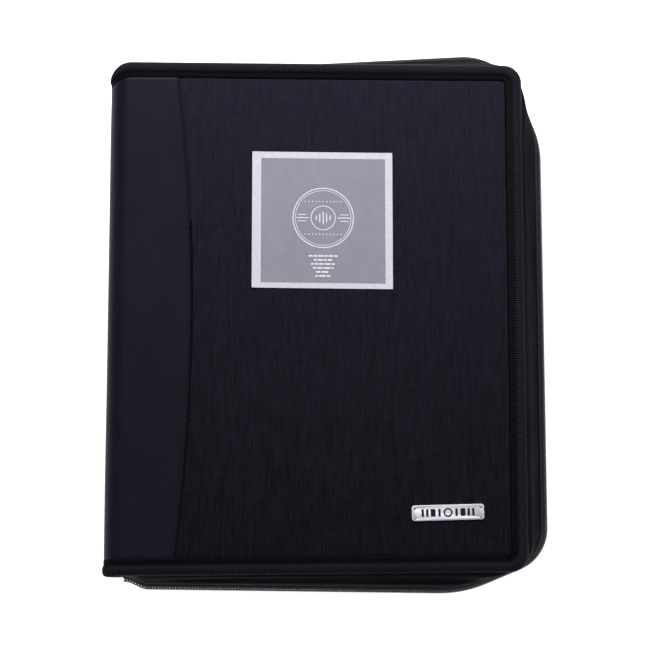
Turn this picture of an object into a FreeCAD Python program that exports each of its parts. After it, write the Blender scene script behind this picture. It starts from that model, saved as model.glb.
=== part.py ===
import FreeCAD, Part
import math
import os
import re
import Sketcher
from FreeCAD import Placement, Rotation, Vector

# A zip-round A4 ring-binder portfolio, closed and lying on its back cover.
# +X runs from the spine to the fore edge, +Y to the head of the case, +Z up.
# The origin is the middle of the closed case's footprint, on the surface it lies on.

doc = FreeCAD.newDocument("portfolio")
sheet = doc.addObject("Spreadsheet::Sheet", "sizes")

DIMENSIONS = {
    # covers, in plan
    "cover_length": 342,       # head to tail, along Y
    "spine_side": 148.5,        # outside of the spine, left of the origin
    "fore_side": 131.3,          # outside of the fore-edge binding, right of the origin
    "corner_radius": 12,
    "closed_thick": 42,        # outside of one cover to outside of the other
    # the layers of one cover, from the outside in
    "skin_thick": 0.9,
    "foam_thick": 1.2,
    "board_thick": 2,
    "lining_thick": 0.9,
    # spine
    "roll_radius": 13,         # outside of the soft roll from a cover into the spine
    "pivot_inset": 2.8,        # crease line, in from both outside faces
    "spine_gap": 0.4,
    # curved seam between smooth leather and woven cloth
    "seam_middle": 55,         # from the outside of the spine, at mid length
    "seam_end": 44,            # the same, at head and tail
    "seam_gap": 0.1,
    # ribbed binding
    "binding_width": 11,
    "binding_inner": 4,        # radius of its inner corners
    "binding_edge": 2,
    "binding_proud": 0.4,
    # gusset and main zip
    "bulge_side": 13.9,          # zip line outside the cover edge, at the fore edge
    "bulge_head_spine": -1,    # the same at the head, at the spine end
    "bulge_head_fore": 10.6,
    "bulge_tail_spine": 10,
    "bulge_tail_fore": 13,
    "zip_corner": 54,
    "gusset_thick": 1,
    "tape_thick": 0.8,
    "tape_top": 8,             # tape edge, from mid thickness
    "coil_gap": 1.6,           # between the cores of the two coils
    "coil_tall": 2,
    "coil_wide": 2.6,
    "stop_length": 4,
    "stop_grow": 0.3,
    # sliders
    "slider_length": 13,
    "slider_tall": 10.6,
    "slider_plate": 1.2,
    "slider_gap": 0.3,
    "slider_web": 1,
    "slider_start": 12,        # slider's near end from the end of the zip
    "crown_tall": 2.4,
    "crown_wide": 4,
    "pull_length": 26,
    "pocket_pull_length": 17,
    "pull_wide": 6,
    "pull_thick": 1.2,
    # label and nameplate
    "label_wide": 94,
    "label_tall": 93,
    "label_thick": 0.3,
    "label_from_spine": 144.5,  # label centre from the outside of the spine
    "label_from_head": 107.6,
    "label_across": "=label_from_spine - spine_side",
    "label_up": "=cover_length / 2 - label_from_head",
    "label_turn": -0.6,
    "plate_wide": 47.4,
    "plate_tall": 10.2,
    "plate_thick": 0.7,
    "plate_radius": 1.8,
    "plate_from_fore": 52.8,
    "plate_from_tail": 38.7,
    "plate_across": "=fore_side - plate_from_fore",
    "plate_down": "=cover_length / 2 - plate_from_tail",
    "plate_turn": 1.5,
    "rivet_radius": 0.7,
    "rivet_inset": 1.9,
    "rivet_proud": 0.35,
    "rivet_fit": 0.05,
    # ring mechanism
    "ring_inset": 27,          # middle of the rings from the crease
    "ring_across": "=roll_radius - spine_side + ring_inset",
    "housing_wide": 22,
    "housing_tall": 5.5,
    "housing_sheet": 0.8,
    "housing_radius": 3,
    "housing_length": 280,
    "ring_radius": 11,         # to the middle of the wire
    "wire_radius": 1.4,
    "ring_pitch": 80,
    "ring_foot": 5,            # foot from the middle of the mechanism
    "ring_split": 0.1,
    "blade_wide": 8.4,
    "blade_thick": 0.9,
    "blade_length": 262,
    "blade_low": 2.7,
    "slot_grow": 1,
    "slot_far": 10.9,
    "lever_wide": 15,
    "lever_length": 17,
    "lever_thick": 1.4,
    "lever_tongue": 6,
    "lever_gap": 0.5,
    "fix_radius": 2.2,
    "fix_across": 120,
    # writing pad
    "sheet_wide": 210,
    "sheet_long": 297,
    "block_thick": 7,
    "card_thick": 0.6,
    "pad_margin": 3.3,
    "pad_across": "=fore_side - binding_edge - pad_margin - sheet_wide / 2",
    "pad_up": -2,
    "sleeve_long": 190,
    "sleeve_thick": 1.5,
    "sleeve_margin": 3,
    "card_gap": 0.2,
    # organiser on the inside of the front cover
    "pocket_wide": 206,
    "pocket_end": 11,          # from the head and tail edges
    "pocket_long": "=cover_length - 2 * pocket_end",
    "pocket_thick": 0.9,
    "pocket_margin": 4.3,
    "pocket_across": "=fore_side - binding_edge - pocket_margin - pocket_wide / 2",
    "pocket_zip_drop": 39,     # pocket zip from the head edge
    "pocket_zip_up": "=cover_length / 2 - pocket_zip_drop",
    "pocket_zip_long": 184,
    "pocket_tape_wide": 22,
    "pocket_tape_thick": 0.5,
    "pocket_coil_wide": 5.2,
    "pocket_coil_thick": 1.6,
    "card_slot_wide": 96,
    "card_slot_step": 15,
    "card_slot_thick": 0.7,
    "card_slot_top": 12,
    "card_slot_bottom": -100,
    "card_slot_shift": 44,     # from the middle of the pocket panel
    "card_slot_across": "=pocket_across + card_slot_shift",
    "phone_wide": 78,
    "phone_long": 128,
    "phone_deep": 11,
    "phone_wall": 1.2,
    "phone_shift": 48,
    "phone_across": "=pocket_across - phone_shift",
    "phone_up": -46,
    "loop_hole": 11,
    "loop_wall": 1,
    "loop_long": 25,
    "loop_up": 58,
    "loop_shift": 82,
    "loop_across": "=pocket_across + loop_shift",
    "loop_pitch": 16,
}

for row, (name, value) in enumerate(DIMENSIONS.items(), start=1):
    sheet.set(f"A{row}", name)
    sheet.set(f"B{row}", str(value))
    sheet.setAlias(f"B{row}", name)
doc.recompute()

finished = []


def size(name):
    return float(getattr(sheet, name))


def cells(text):
    """Turn plain alias names in a formula into references to the sheet."""
    return re.sub(r"\b([a-z]+_[a-z_]+)\b", r"sizes.\1", text)


def bind(thing, **formulas):
    for name, text in formulas.items():
        thing.setExpression(name.replace("_at_", "."), cells(text))
    return thing


def part(kind, name, **formulas):
    thing = doc.addObject(kind, name)
    return bind(thing, **formulas)


def finish(thing, label):
    """Name a finished piece and add it to those that are written."""
    thing.Label = label
    finished.append(thing)
    return thing


def box(name, x, y, z, wide, deep, tall):
    return part("Part::Box", name, Length=wide, Width=deep, Height=tall,
                Placement_at_Base_at_x=x, Placement_at_Base_at_y=y, Placement_at_Base_at_z=z)


def cut(name, base, tool):
    thing = doc.addObject("Part::Cut", name)
    thing.Base, thing.Tool = base, tool
    return thing


def common(name, base, tool):
    thing = doc.addObject("Part::Common", name)
    thing.Base, thing.Tool = base, tool
    return thing


def fuse(name, *pieces):
    thing = doc.addObject("Part::MultiFuse", name)
    thing.Shapes = list(pieces)
    return thing


def group(name, pieces):
    thing = doc.addObject("Part::Compound", name)
    thing.Links = list(pieces)
    return thing


def shaped(label, shape, placement=None):
    """A piece whose form comes from a loft or sweep of computed wires."""
    thing = doc.addObject("Part::Feature", label)
    thing.Shape = shape
    if placement is not None:
        thing.Placement = placement
    return finish(thing, label)


def plane_of(body, role):
    return next(f for f in body.Origin.OriginFeatures if f.Role == role)


def rectangle(body, name, wide, tall, lift, across="0", up="0", role="XY_Plane"):
    """A rectangle sketch centred on a point of one of the body's planes."""
    sketch = body.newObject("Sketcher::SketchObject", name)
    sketch.AttachmentSupport = [(plane_of(body, role), "")]
    sketch.MapMode = "FlatFace"
    bind(sketch, AttachmentOffset_at_Base_at_x=across, AttachmentOffset_at_Base_at_y=up,
         AttachmentOffset_at_Base_at_z=lift)
    corners = [Vector(-1, -1, 0), Vector(1, -1, 0), Vector(1, 1, 0), Vector(-1, 1, 0)]
    for i in range(4):
        sketch.addGeometry(Part.LineSegment(corners[i], corners[(i + 1) % 4]), False)
    for i in range(4):
        sketch.addConstraint(Sketcher.Constraint("Coincident", i, 2, (i + 1) % 4, 1))
    for i in (0, 2):
        sketch.addConstraint(Sketcher.Constraint("Horizontal", i))
    for i in (1, 3):
        sketch.addConstraint(Sketcher.Constraint("Vertical", i))
    sketch.addConstraint(Sketcher.Constraint("Symmetric", 0, 1, 2, 1, -1, 1))
    for line, kind, ends, formula in ((0, "DistanceX", (1, 2), wide), (1, "DistanceY", (1, 2), tall)):
        index = sketch.addConstraint(Sketcher.Constraint(kind, line, ends[0], line, ends[1], 2.0))
        sketch.setExpression(f"Constraints[{index}]", cells(formula))
    return sketch


def pad(body, sketch, length, name="Pad"):
    feature = body.newObject("PartDesign::Pad", name)
    feature.Profile = sketch
    bind(feature, Length=length)
    return feature


def round_corners(body, feature, radius, fore_only=False):
    """Round the upright edges of a plate, or only the two at the fore edge."""
    doc.recompute()
    edges = []
    middle = feature.Shape.BoundBox.Center.x
    for i, edge in enumerate(feature.Shape.Edges, start=1):
        upright = abs(edge.tangentAt(edge.FirstParameter).z) > 0.99
        if upright and not (fore_only and edge.Vertexes[0].X < middle):
            edges.append(f"Edge{i}")
    rounded = body.newObject("PartDesign::Fillet", "RoundCorners")
    rounded.Base = (feature, edges)
    bind(rounded, Radius=radius)
    body.Tip = rounded
    return rounded


def plate(label, wide, tall, lift, thick, across="0", up="0", radius=None, fore_only=False):
    """A flat sheet or board, with rounded corners where it has a radius."""
    body = doc.addObject("PartDesign::Body", label)
    sketch = rectangle(body, label + "_outline", wide, tall, lift, across, up)
    feature = pad(body, sketch, thick)
    if radius:
        round_corners(body, feature, radius, fore_only)
    return body


# ---- cover outline and zip line in plan ----

def shifted(points, inward, end_x):
    """The outline moved sideways to its inside, with its ends kept at end_x."""
    lines = []
    for a, b in zip(points, points[1:]):
        along = (b - a).normalize()
        inside = Vector(along.y, -along.x, 0)
        lines.append((a + inside * inward, along))
    ends = []
    for (p, d) in (lines[0], lines[-1]):
        ends.append(p + d * ((end_x - p.x) / d.x))
    middle = []
    for (p, d), (q, e) in zip(lines, lines[1:]):
        reach = ((q - p).x * e.y - (q - p).y * e.x) / (d.x * e.y - d.y * e.x)
        middle.append(p + d * reach)
    return [ends[0], *middle, ends[1]]


def open_run(points, radius, height):
    """Edges of an open line of straight runs, rounded where they meet."""
    edges = []
    start = points[0]
    for before, corner, after in zip(points, points[1:], points[2:]):
        back = (before - corner).normalize()
        on = (after - corner).normalize()
        half = back.getAngle(on) / 2
        reach = radius / math.tan(half)
        a, b = corner + back * reach, corner + on * reach
        bisector = (back + on).normalize()
        middle = corner + bisector * (radius / math.sin(half) - radius)
        edges.append(Part.LineSegment(start, a).toShape())
        edges.append(Part.Arc(a, middle, b).toShape())
        start = b
    edges.append(Part.LineSegment(start, points[-1]).toShape())
    lifted = Vector(0, 0, height)
    return [e.translated(lifted) for e in edges]


def band(points, radius, outer_in, inner_in, height, end_x):
    """A closed wire round the strip between two offsets of an open outline."""
    outer = shifted(points, outer_in, end_x)
    inner = shifted(points, inner_in, end_x)
    lift = Vector(0, 0, height)
    edges = open_run(outer, radius - outer_in, height)
    edges += open_run(inner, max(radius - inner_in, size("binding_inner")), height)
    edges.append(Part.LineSegment(outer[0] + lift, inner[0] + lift).toShape())
    edges.append(Part.LineSegment(outer[-1] + lift, inner[-1] + lift).toShape())
    return Part.Wire(Part.__sortEdges__(edges))


def cover_outline():
    half = size("cover_length") / 2
    right = size("fore_side")
    left = crease_x()
    return [Vector(left, half, 0), Vector(right, half, 0), Vector(right, -half, 0), Vector(left, -half, 0)]


def crease_x():
    """Where the flat of a cover ends and its roll into the spine starts."""
    return size("roll_radius") - size("spine_side")


def zip_outline(share):
    """Cover outline at 0, and the line of the zip at 1."""
    half = size("cover_length") / 2
    left = crease_x()
    right = size("fore_side") + share * size("bulge_side")
    run = size("fore_side") + size("bulge_side") - size("zip_corner") - left

    def end_of(near, far):
        a, b = share * size(near), share * size(far)
        return half + a, half + a + (b - a) * (right - left) / run

    head, head_far = end_of("bulge_head_spine", "bulge_head_fore")
    tail, tail_far = end_of("bulge_tail_spine", "bulge_tail_fore")
    return [Vector(left, head, 0), Vector(right, head_far, 0), Vector(right, -tail_far, 0), Vector(left, -tail, 0)]


def zip_radius(share):
    return size("corner_radius") + share * (size("zip_corner") - size("corner_radius"))


def mirrored(shape):
    """The same shape on the other side of mid thickness."""
    return shape.mirror(Vector(0, 0, size("closed_thick") / 2), Vector(0, 0, 1))


def both_covers(front_label, back_label, shape):
    shaped(front_label, shape)
    shaped(back_label, mirrored(shape))


# ---- covers ----

PANEL_WIDE = "fore_side + spine_side - roll_radius - binding_width"
PANEL_TALL = "cover_length - 2 * binding_width"
PANEL_ACROSS = "(fore_side - binding_width - spine_side + roll_radius) / 2"
INNER_WIDE = "fore_side + spine_side - roll_radius - binding_edge"
INNER_TALL = "cover_length - 2 * binding_edge"
INNER_ACROSS = "(fore_side - binding_edge - spine_side + roll_radius) / 2"
SEAM_RADIUS = ("((cover_length / 2) ^ 2 + (seam_middle - seam_end) ^ 2)"
               " / (2 * (seam_middle - seam_end))")


def seam_disc(name, height, grow="0"):
    """A broad disc whose edge is the curved seam."""
    disc = part("Part::Cylinder", name, Radius=f"{SEAM_RADIUS} + {grow}", Height="closed_thick",
                Placement_at_Base_at_x=f"seam_middle - spine_side - {SEAM_RADIUS}",
                Placement_at_Base_at_z=height)
    return disc


def cover_layers():
    """Board, foam, woven cloth, smooth leather and lining of both covers."""
    inside = "skin_thick + foam_thick + board_thick"
    stack = (
        ("board", "skin_thick + foam_thick", "board_thick"),
        ("foam", "skin_thick", "foam_thick"),
        ("lining", inside, "lining_thick"),
    )
    for name, depth, thick in stack:
        for side in ("front", "back"):
            lift = depth if side == "back" else f"closed_thick - ({depth}) - {thick}"
            body = plate(f"{side}_{name}", INNER_WIDE, INNER_TALL, lift, thick, INNER_ACROSS,
                         radius="corner_radius - binding_edge", fore_only=True)
            finish(body, f"{side}_{name}")
    for side in ("front", "back"):
        lift = "0" if side == "back" else "closed_thick - skin_thick"
        cloth = plate(f"{side}_cloth_sheet", PANEL_WIDE, PANEL_TALL, lift, "skin_thick", PANEL_ACROSS,
                      radius="binding_inner", fore_only=True)
        hide = box(f"{side}_hide_sheet", "roll_radius - spine_side", "binding_width - cover_length / 2",
                   lift, PANEL_WIDE, PANEL_TALL, "skin_thick")
        low = "-closed_thick / 2" if side == "back" else "closed_thick / 2"
        finish(cut(f"{side}_cloth", cloth, seam_disc(f"{side}_seam_outer", low, "seam_gap")),
               f"{side}_cover_cloth")
        finish(common(f"{side}_hide", hide, seam_disc(f"{side}_seam_inner", low)),
               f"{side}_leather_panel")


def bindings():
    """Ribbed tape folded round three edges of each cover."""
    top = size("closed_thick")
    layers = size("skin_thick") + size("foam_thick") + size("board_thick") + size("lining_thick")
    proud = size("binding_proud")
    radius = size("corner_radius")
    left = crease_x()
    outline = cover_outline()
    flat = Part.Face(band(outline, radius, 0, size("binding_width"), top - size("skin_thick"), left))
    flat = flat.extrude(Vector(0, 0, size("skin_thick")))
    edge = Part.Face(band(outline, radius, 0, size("binding_edge"), top - layers - proud, left))
    edge = edge.extrude(Vector(0, 0, layers + proud - size("skin_thick")))
    both_covers("front_binding", "back_binding", flat.fuse(edge).removeSplitter())


# ---- spine ----

def quarter_shell(name, centre_z, outer, thick, turn, low_y, long):
    """A quarter of a tube along Y, about the centre of a cover's roll."""
    pieces = []
    for tag, radius, extra in (("outside", outer, "0"), ("inside", f"{outer} - {thick}", "1")):
        rod = part("Part::Cylinder", f"{name}_{tag}", Radius=radius, Height=f"{long} + 2 * {extra}")
        rod.Angle = 90
        rod.Placement.Rotation = Rotation(Vector(1, 0, 0), -90) * Rotation(Vector(0, 0, 1), turn)
        bind(rod, Placement_at_Base_at_x="roll_radius - spine_side",
             Placement_at_Base_at_y=f"{low_y} - {extra}", Placement_at_Base_at_z=centre_z)
        pieces.append(rod)
    return cut(name, *pieces)


ROLLS = {"front": ("closed_thick - roll_radius", 180), "back": ("roll_radius", 90)}
LAYERS = "(skin_thick + foam_thick + board_thick + lining_thick)"


def spine_rolls():
    """Leather, lining and binding of the two soft rolls beside the spine."""
    for side, (centre_z, turn) in ROLLS.items():
        finish(quarter_shell(f"{side}_roll", centre_z, "roll_radius", "skin_thick", turn,
                             "binding_width - cover_length / 2", f"({PANEL_TALL})"),
               f"{side}_hinge_leather")
        finish(quarter_shell(f"{side}_roll_lining", centre_z,
                             f"(roll_radius - {LAYERS} + lining_thick)", "lining_thick",
                             turn, "binding_edge - cover_length / 2", f"({INNER_TALL})"),
               f"{side}_hinge_lining")
        ends = [quarter_shell(f"{side}_roll_binding_{end}", centre_z, "roll_radius", "skin_thick", turn,
                              low, "binding_width")
                for end, low in (("tail", "-cover_length / 2"), ("head", "cover_length / 2 - binding_width"))]
        finish(group(f"{side}_roll_bindings", ends), f"{side}_hinge_binding")


def spine_pieces():
    """The flat of the spine between the two rolls."""
    tall = "closed_thick - 2 * roll_radius"
    low = "roll_radius"
    finish(box("spine_hide", "-spine_side", "binding_width - cover_length / 2", low,
               "skin_thick", PANEL_TALL, tall), "spine_leather")
    finish(box("spine_stiffener", "skin_thick + spine_gap - spine_side", "binding_edge - cover_length / 2",
               low, "board_thick", INNER_TALL, tall), "spine_board")
    finish(box("spine_inside", f"{LAYERS} - spine_side - lining_thick", "binding_edge - cover_length / 2",
               low, "lining_thick", INNER_TALL, tall), "spine_lining")
    ends = [box(f"spine_binding_{end}", "-spine_side", at, low, "skin_thick", "binding_width", tall)
            for end, at in (("tail", "-cover_length / 2"), ("head", "cover_length / 2 - binding_width"))]
    finish(group("spine_bindings", ends), "spine_binding")


# ---- gusset and main zip ----

def gussets():
    """Soft side walls from the binding out to the zip tape."""
    top = size("closed_thick")
    middle = top / 2
    high = top - size("skin_thick") - size("foam_thick") - size("board_thick") - size("lining_thick")
    high -= size("binding_proud")
    low = middle + size("tape_top")
    thick = size("gusset_thick")
    wires = []
    for share in (0, 0.5, 0.8, 1):
        height = low + (high - low) * math.sqrt(1 - share * share)
        wires.append(band(zip_outline(share), zip_radius(share), 0, thick, height, crease_x()))
    both_covers("front_gusset", "back_gusset", Part.makeLoft(wires, True, True))


def zip_strip(half_width, low, high):
    """A strip centred on the zip line, between two heights above mid thickness."""
    inset = size("gusset_thick") / 2
    middle = size("closed_thick") / 2
    wire = band(zip_outline(1), zip_radius(1), inset - half_width, inset + half_width,
                middle + low, crease_x())
    return Part.Face(wire).extrude(Vector(0, 0, high - low))


def zip_chain():
    """Tape and coil core of each half of the main zip."""
    low = size("coil_gap") / 2
    high = low + size("coil_tall")
    both_covers("front_zip_tape", "back_zip_tape",
                zip_strip(size("tape_thick") / 2, high, size("tape_top")))
    both_covers("front_zip_coil", "back_zip_coil", zip_strip(size("coil_wide") / 2, low, high))


def zip_frame():
    """Start, direction and angle of the straight head run of the zip."""
    line = shifted(zip_outline(1), size("gusset_thick") / 2, crease_x())
    along = (line[1] - line[0]).normalize()
    angle = math.degrees(math.atan2(along.y, along.x))
    return line[0], along, angle


def on_zip(distance):
    """Placement on the head run: X along the zip, Y outwards, origin at mid thickness."""
    start, along, angle = zip_frame()
    base = start + along * distance + Vector(0, 0, size("closed_thick") / 2)
    return Placement(base, Rotation(Vector(0, 0, 1), angle))


def zip_stops():
    """Small metal clips closed over the head and tail ends of each coil."""
    grow = size("stop_grow")
    length = size("stop_length")
    low = size("coil_gap") / 2
    high = low + size("coil_tall")
    line = shifted(zip_outline(1), size("gusset_thick") / 2, crease_x())
    clips = []
    for end, inward in ((line[0], line[1] - line[0]), (line[-1], line[-2] - line[-1])):
        angle = math.degrees(math.atan2(inward.y, inward.x))
        half = size("coil_wide") / 2
        clip = Part.makeBox(length, 2 * (half + grow), high - low, Vector(0, -half - grow, low))
        core = Part.makeBox(length, 2 * half, high - low, Vector(0, -half, low))
        clip = clip.cut(core)
        clip.Placement = Placement(end + Vector(0, 0, size("closed_thick") / 2),
                                   Rotation(Vector(0, 0, 1), angle))
        clips.append(clip)
    both_covers("front_zip_stops", "back_zip_stops", Part.makeCompound(clips))


def main_slider():
    """Slider of the main zip: two plates, the web between them, lips and a crown."""
    length = size("slider_length")
    tall = size("slider_tall")
    plate_thick = size("slider_plate")
    inner = size("coil_wide") / 2 + size("slider_gap")
    slot = size("tape_thick") / 2 + size("slider_gap")
    outer = inner + plate_thick
    web = size("slider_web")
    pieces = []
    for low_y in (inner, -outer):
        pieces.append(Part.makeBox(length, plate_thick, tall, Vector(0, low_y, -tall / 2)))
    pieces.append(Part.makeBox(2 * web, 2 * inner, web, Vector(0, -inner, -web / 2)))
    lip_tall = 1.4 * web
    for low_y in (slot, -inner):
        pieces.append(Part.makeBox(length, inner - slot, lip_tall, Vector(0, low_y, -tall / 2)))
    pieces.append(crown(length, outer))
    body = pieces[0].multiFuse(pieces[1:]).removeSplitter()
    shaped("main_zip_slider", body, on_zip(size("slider_start")))


def crown(length, outer):
    """The arch on a slider's outer plate that the pull hangs from."""
    tall = size("crown_tall")
    wide = size("crown_wide")
    wall = size("slider_plate")
    arch = Part.makeBox(length * 0.7, tall, wide, Vector(length * 0.15, outer, -wide / 2))
    eye = Part.makeBox(length * 0.7 - 2 * wall, tall - wall, wide + 2,
                       Vector(length * 0.15 + wall, outer, -wide / 2 - 1))
    return arch.cut(eye)


def pull_shape(tail):
    """A flat pull with a bar through the crown at its near end, hinged on Z at its origin."""
    wide = size("pull_wide")
    thick = size("pull_thick")
    bar = (size("crown_tall") - size("slider_plate")) / 2 - 0.1
    frame_in = size("crown_wide") / 2 + 0.5
    frame_out = frame_in + 1.4
    near = size("slider_length") * 0.7
    pin = Part.makeCylinder(bar, 2 * frame_out, Vector(0, 0, -frame_out))
    arms = []
    for low_z in (frame_in, -frame_out):
        arms.append(Part.makeBox(near, thick, frame_out - frame_in, Vector(0, -thick / 2, low_z)))
    leaf = Part.makeBox(tail - near, thick, wide, Vector(near, -thick / 2, -wide / 2))
    end_bar = Part.makeBox(1.4, thick, 2 * frame_out, Vector(near - 1.4, -thick / 2, -frame_out))
    return pin.multiFuse([*arms, leaf, end_bar]).removeSplitter()


def pull_pin():
    """Distance of a pull's bar along its slider, and out from the middle of the zip."""
    along = size("slider_length") * 0.5
    outer = size("coil_wide") / 2 + size("slider_gap") + size("slider_plate")
    out = outer + (size("crown_tall") - size("slider_plate")) / 2
    return along, out


def main_pull():
    along, out = pull_pin()
    place = on_zip(size("slider_start") + along)
    place = place.multiply(Placement(Vector(0, out, 0), Rotation()))
    shaped("main_zip_pull", pull_shape(size("pull_length")), place)


# ---- label and nameplate ----

def turned(body, angle_name, across, up):
    """Turn a flat piece a little about its own centre."""
    centre = Vector(across, up, 0)
    body.Placement = Placement(Vector(0, 0, 0), Rotation(Vector(0, 0, 1), size(angle_name)), centre)


def label_and_nameplate():
    label = plate("paper_label", "label_wide", "label_tall", "closed_thick", "label_thick",
                  "label_across", "label_up")
    turned(label, "label_turn", size("label_across"), size("label_up"))
    finish(label, "paper_label")

    name = plate("nameplate", "plate_wide", "plate_tall", "closed_thick", "plate_thick",
                 "plate_across", "-plate_down", "plate_radius")
    spots = rectangle(name, "rivet_spots", "plate_wide - 2 * rivet_inset", "plate_tall - 2 * rivet_inset",
                      "closed_thick + plate_thick", "plate_across", "-plate_down")
    for line in range(4):
        spots.toggleConstruction(line)
    for line in range(4):
        circle = spots.addGeometry(Part.Circle(Vector(0, 0, 0), Vector(0, 0, 1), 1), False)
        spots.addConstraint(Sketcher.Constraint("Coincident", circle, 3, line, 1))
        index = spots.addConstraint(Sketcher.Constraint("Radius", circle, 0.7))
        spots.setExpression(f"Constraints[{index}]", cells("rivet_radius + rivet_fit"))
    holes = name.newObject("PartDesign::Pocket", "RivetHoles")
    holes.Profile = spots
    bind(holes, Length="plate_thick * 2")
    name.Tip = holes
    turned(name, "plate_turn", size("plate_across"), -size("plate_down"))
    finish(name, "nameplate")

    rivets = []
    for column in (-1, 1):
        for row in (-1, 1):
            shank = part("Part::Cylinder", f"rivet_shank_{column + 1}{row + 1}", Radius="rivet_radius",
                         Height="plate_thick")
            head = part("Part::Cone", f"rivet_head_{column + 1}{row + 1}", Radius1="rivet_radius + 0.3",
                        Radius2="rivet_radius - 0.2", Height="rivet_proud",
                        Placement_at_Base_at_z="plate_thick")
            rivet = fuse(f"rivet_{column + 1}{row + 1}", shank, head)
            bind(rivet, Placement_at_Base_at_x=f"{column} * (plate_wide / 2 - rivet_inset)",
                 Placement_at_Base_at_y=f"{row} * (plate_tall / 2 - rivet_inset)")
            rivets.append(rivet)
    rivets = group("rivet_set", rivets)
    rivets.Placement = Placement(Vector(size("plate_across"), -size("plate_down"), size("closed_thick")),
                                 Rotation(Vector(0, 0, 1), size("plate_turn")))
    finish(rivets, "nameplate_rivets")


# ---- ring mechanism ----

FLOOR = "(skin_thick + foam_thick + board_thick + lining_thick)"


def arched_block(name, wide, long, tall, radius):
    """A long block on the back lining whose two upper long edges are rounded."""
    body = doc.addObject("PartDesign::Body", name)
    outline = rectangle(body, f"{name}_outline", wide, long, FLOOR, "ring_across")
    block = pad(body, outline, tall)
    doc.recompute()
    top = block.Shape.BoundBox.ZMax
    shoulders = []
    for i, edge in enumerate(block.Shape.Edges, start=1):
        ends = [v.Point for v in edge.Vertexes]
        runs_along = abs(ends[0].y - ends[1].y) > size("housing_wide")
        if runs_along and min(p.z for p in ends) > top - size("housing_sheet") / 2:
            shoulders.append(f"Edge{i}")
    rounded = body.newObject("PartDesign::Fillet", f"{name}_shoulders")
    rounded.Base = (block, shoulders)
    bind(rounded, Radius=radius)
    body.Tip = rounded
    return body


def ring_housing():
    """The sprung metal cover over the two blades, with slots for the rings."""
    outside = arched_block("housing_outside", "housing_wide", "housing_length", "housing_tall",
                           "housing_radius")
    inside = arched_block("housing_inside", "housing_wide - 2 * housing_sheet", "housing_length + 2",
                          "housing_tall - housing_sheet", "housing_radius - housing_sheet")
    shell = cut("housing_shell", outside, inside)
    doc.recompute()
    slots = []
    for side in (-1, 1):
        for place in ring_places():
            slots.append((side, place))
    tools = []
    for number, (side, place) in enumerate(slots):
        near = "ring_foot - wire_radius - 1.4 * slot_grow"
        wide = f"slot_far - ({near})"
        x = f"ring_across + {near}" if side > 0 else "ring_across - slot_far"
        tools.append(box(f"ring_slot_{number}", x, f"{place} - wire_radius - slot_grow / 2",
                         f"{FLOOR} + blade_low", wide, "2 * wire_radius + slot_grow", "housing_tall"))
    for number, side in enumerate((-1, 1)):
        hole = part("Part::Cylinder", f"fixing_hole_{number}", Radius="fix_radius + rivet_fit",
                    Height="housing_tall", Placement_at_Base_at_x="ring_across",
                    Placement_at_Base_at_y=f"{side} * fix_across",
                    Placement_at_Base_at_z=f"{FLOOR} + 1")
        tools.append(hole)
    finish(cut("housing_pierced", shell, fuse("housing_openings", *tools)), "ring_housing")
    fixings = []
    for number, side in enumerate((-1, 1)):
        shank = part("Part::Cylinder", f"fixing_shank_{number}", Radius="fix_radius", Height="housing_tall",
                     Placement_at_Base_at_z=FLOOR)
        head = part("Part::Cone", f"fixing_head_{number}", Radius1="fix_radius + 1.2",
                    Radius2="fix_radius", Height="rivet_proud * 2",
                    Placement_at_Base_at_z=f"{FLOOR} + housing_tall")
        rivet = fuse(f"fixing_{number}", shank, head)
        bind(rivet, Placement_at_Base_at_x="ring_across", Placement_at_Base_at_y=f"{side} * fix_across")
        fixings.append(rivet)
    finish(group("fixing_set", fixings), "ring_housing_rivets")


def ring_places():
    """The four rings along Y, as formulas."""
    return ["-1.5 * ring_pitch", "-0.5 * ring_pitch", "0.5 * ring_pitch", "1.5 * ring_pitch"]


def ring_centre_height():
    """Centre of the rings above the housing's base, so that a ring's foot meets the housing's top."""
    drop = math.sqrt(size("ring_radius") ** 2 - size("ring_foot") ** 2)
    return size("housing_tall") - size("housing_sheet") + drop


def half_ring(side):
    """One half ring: a wire arc from the split at the top to a foot on the blade."""
    radius = size("ring_radius")
    wire = size("wire_radius")
    base = size("skin_thick") + size("foam_thick") + size("board_thick") + size("lining_thick")
    centre = Vector(0, 0, base + ring_centre_height())
    foot_z = base + size("blade_low") + size("blade_thick")
    split = math.asin(size("ring_split") / 2 / radius)
    last = math.acos(-math.sqrt(radius ** 2 - size("ring_foot") ** 2) / radius)

    def on_arc(angle):
        return centre + Vector(side * radius * math.sin(angle), 0, radius * math.cos(angle))

    arc = Part.Arc(on_arc(split), on_arc((split + last) / 2), on_arc(last)).toShape()
    foot = on_arc(last)
    leg = Part.makeCylinder(wire, foot.z - foot_z, Vector(foot.x, 0, foot_z))
    start = Part.Wire(Part.makeCircle(wire, on_arc(split),
                                      Vector(side * math.cos(split), 0, -math.sin(split))))
    bent = Part.Wire(arc).makePipeShell([start], True, True)
    return bent.multiFuse([leg, Part.makeSphere(wire, foot)]).removeSplitter()


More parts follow.
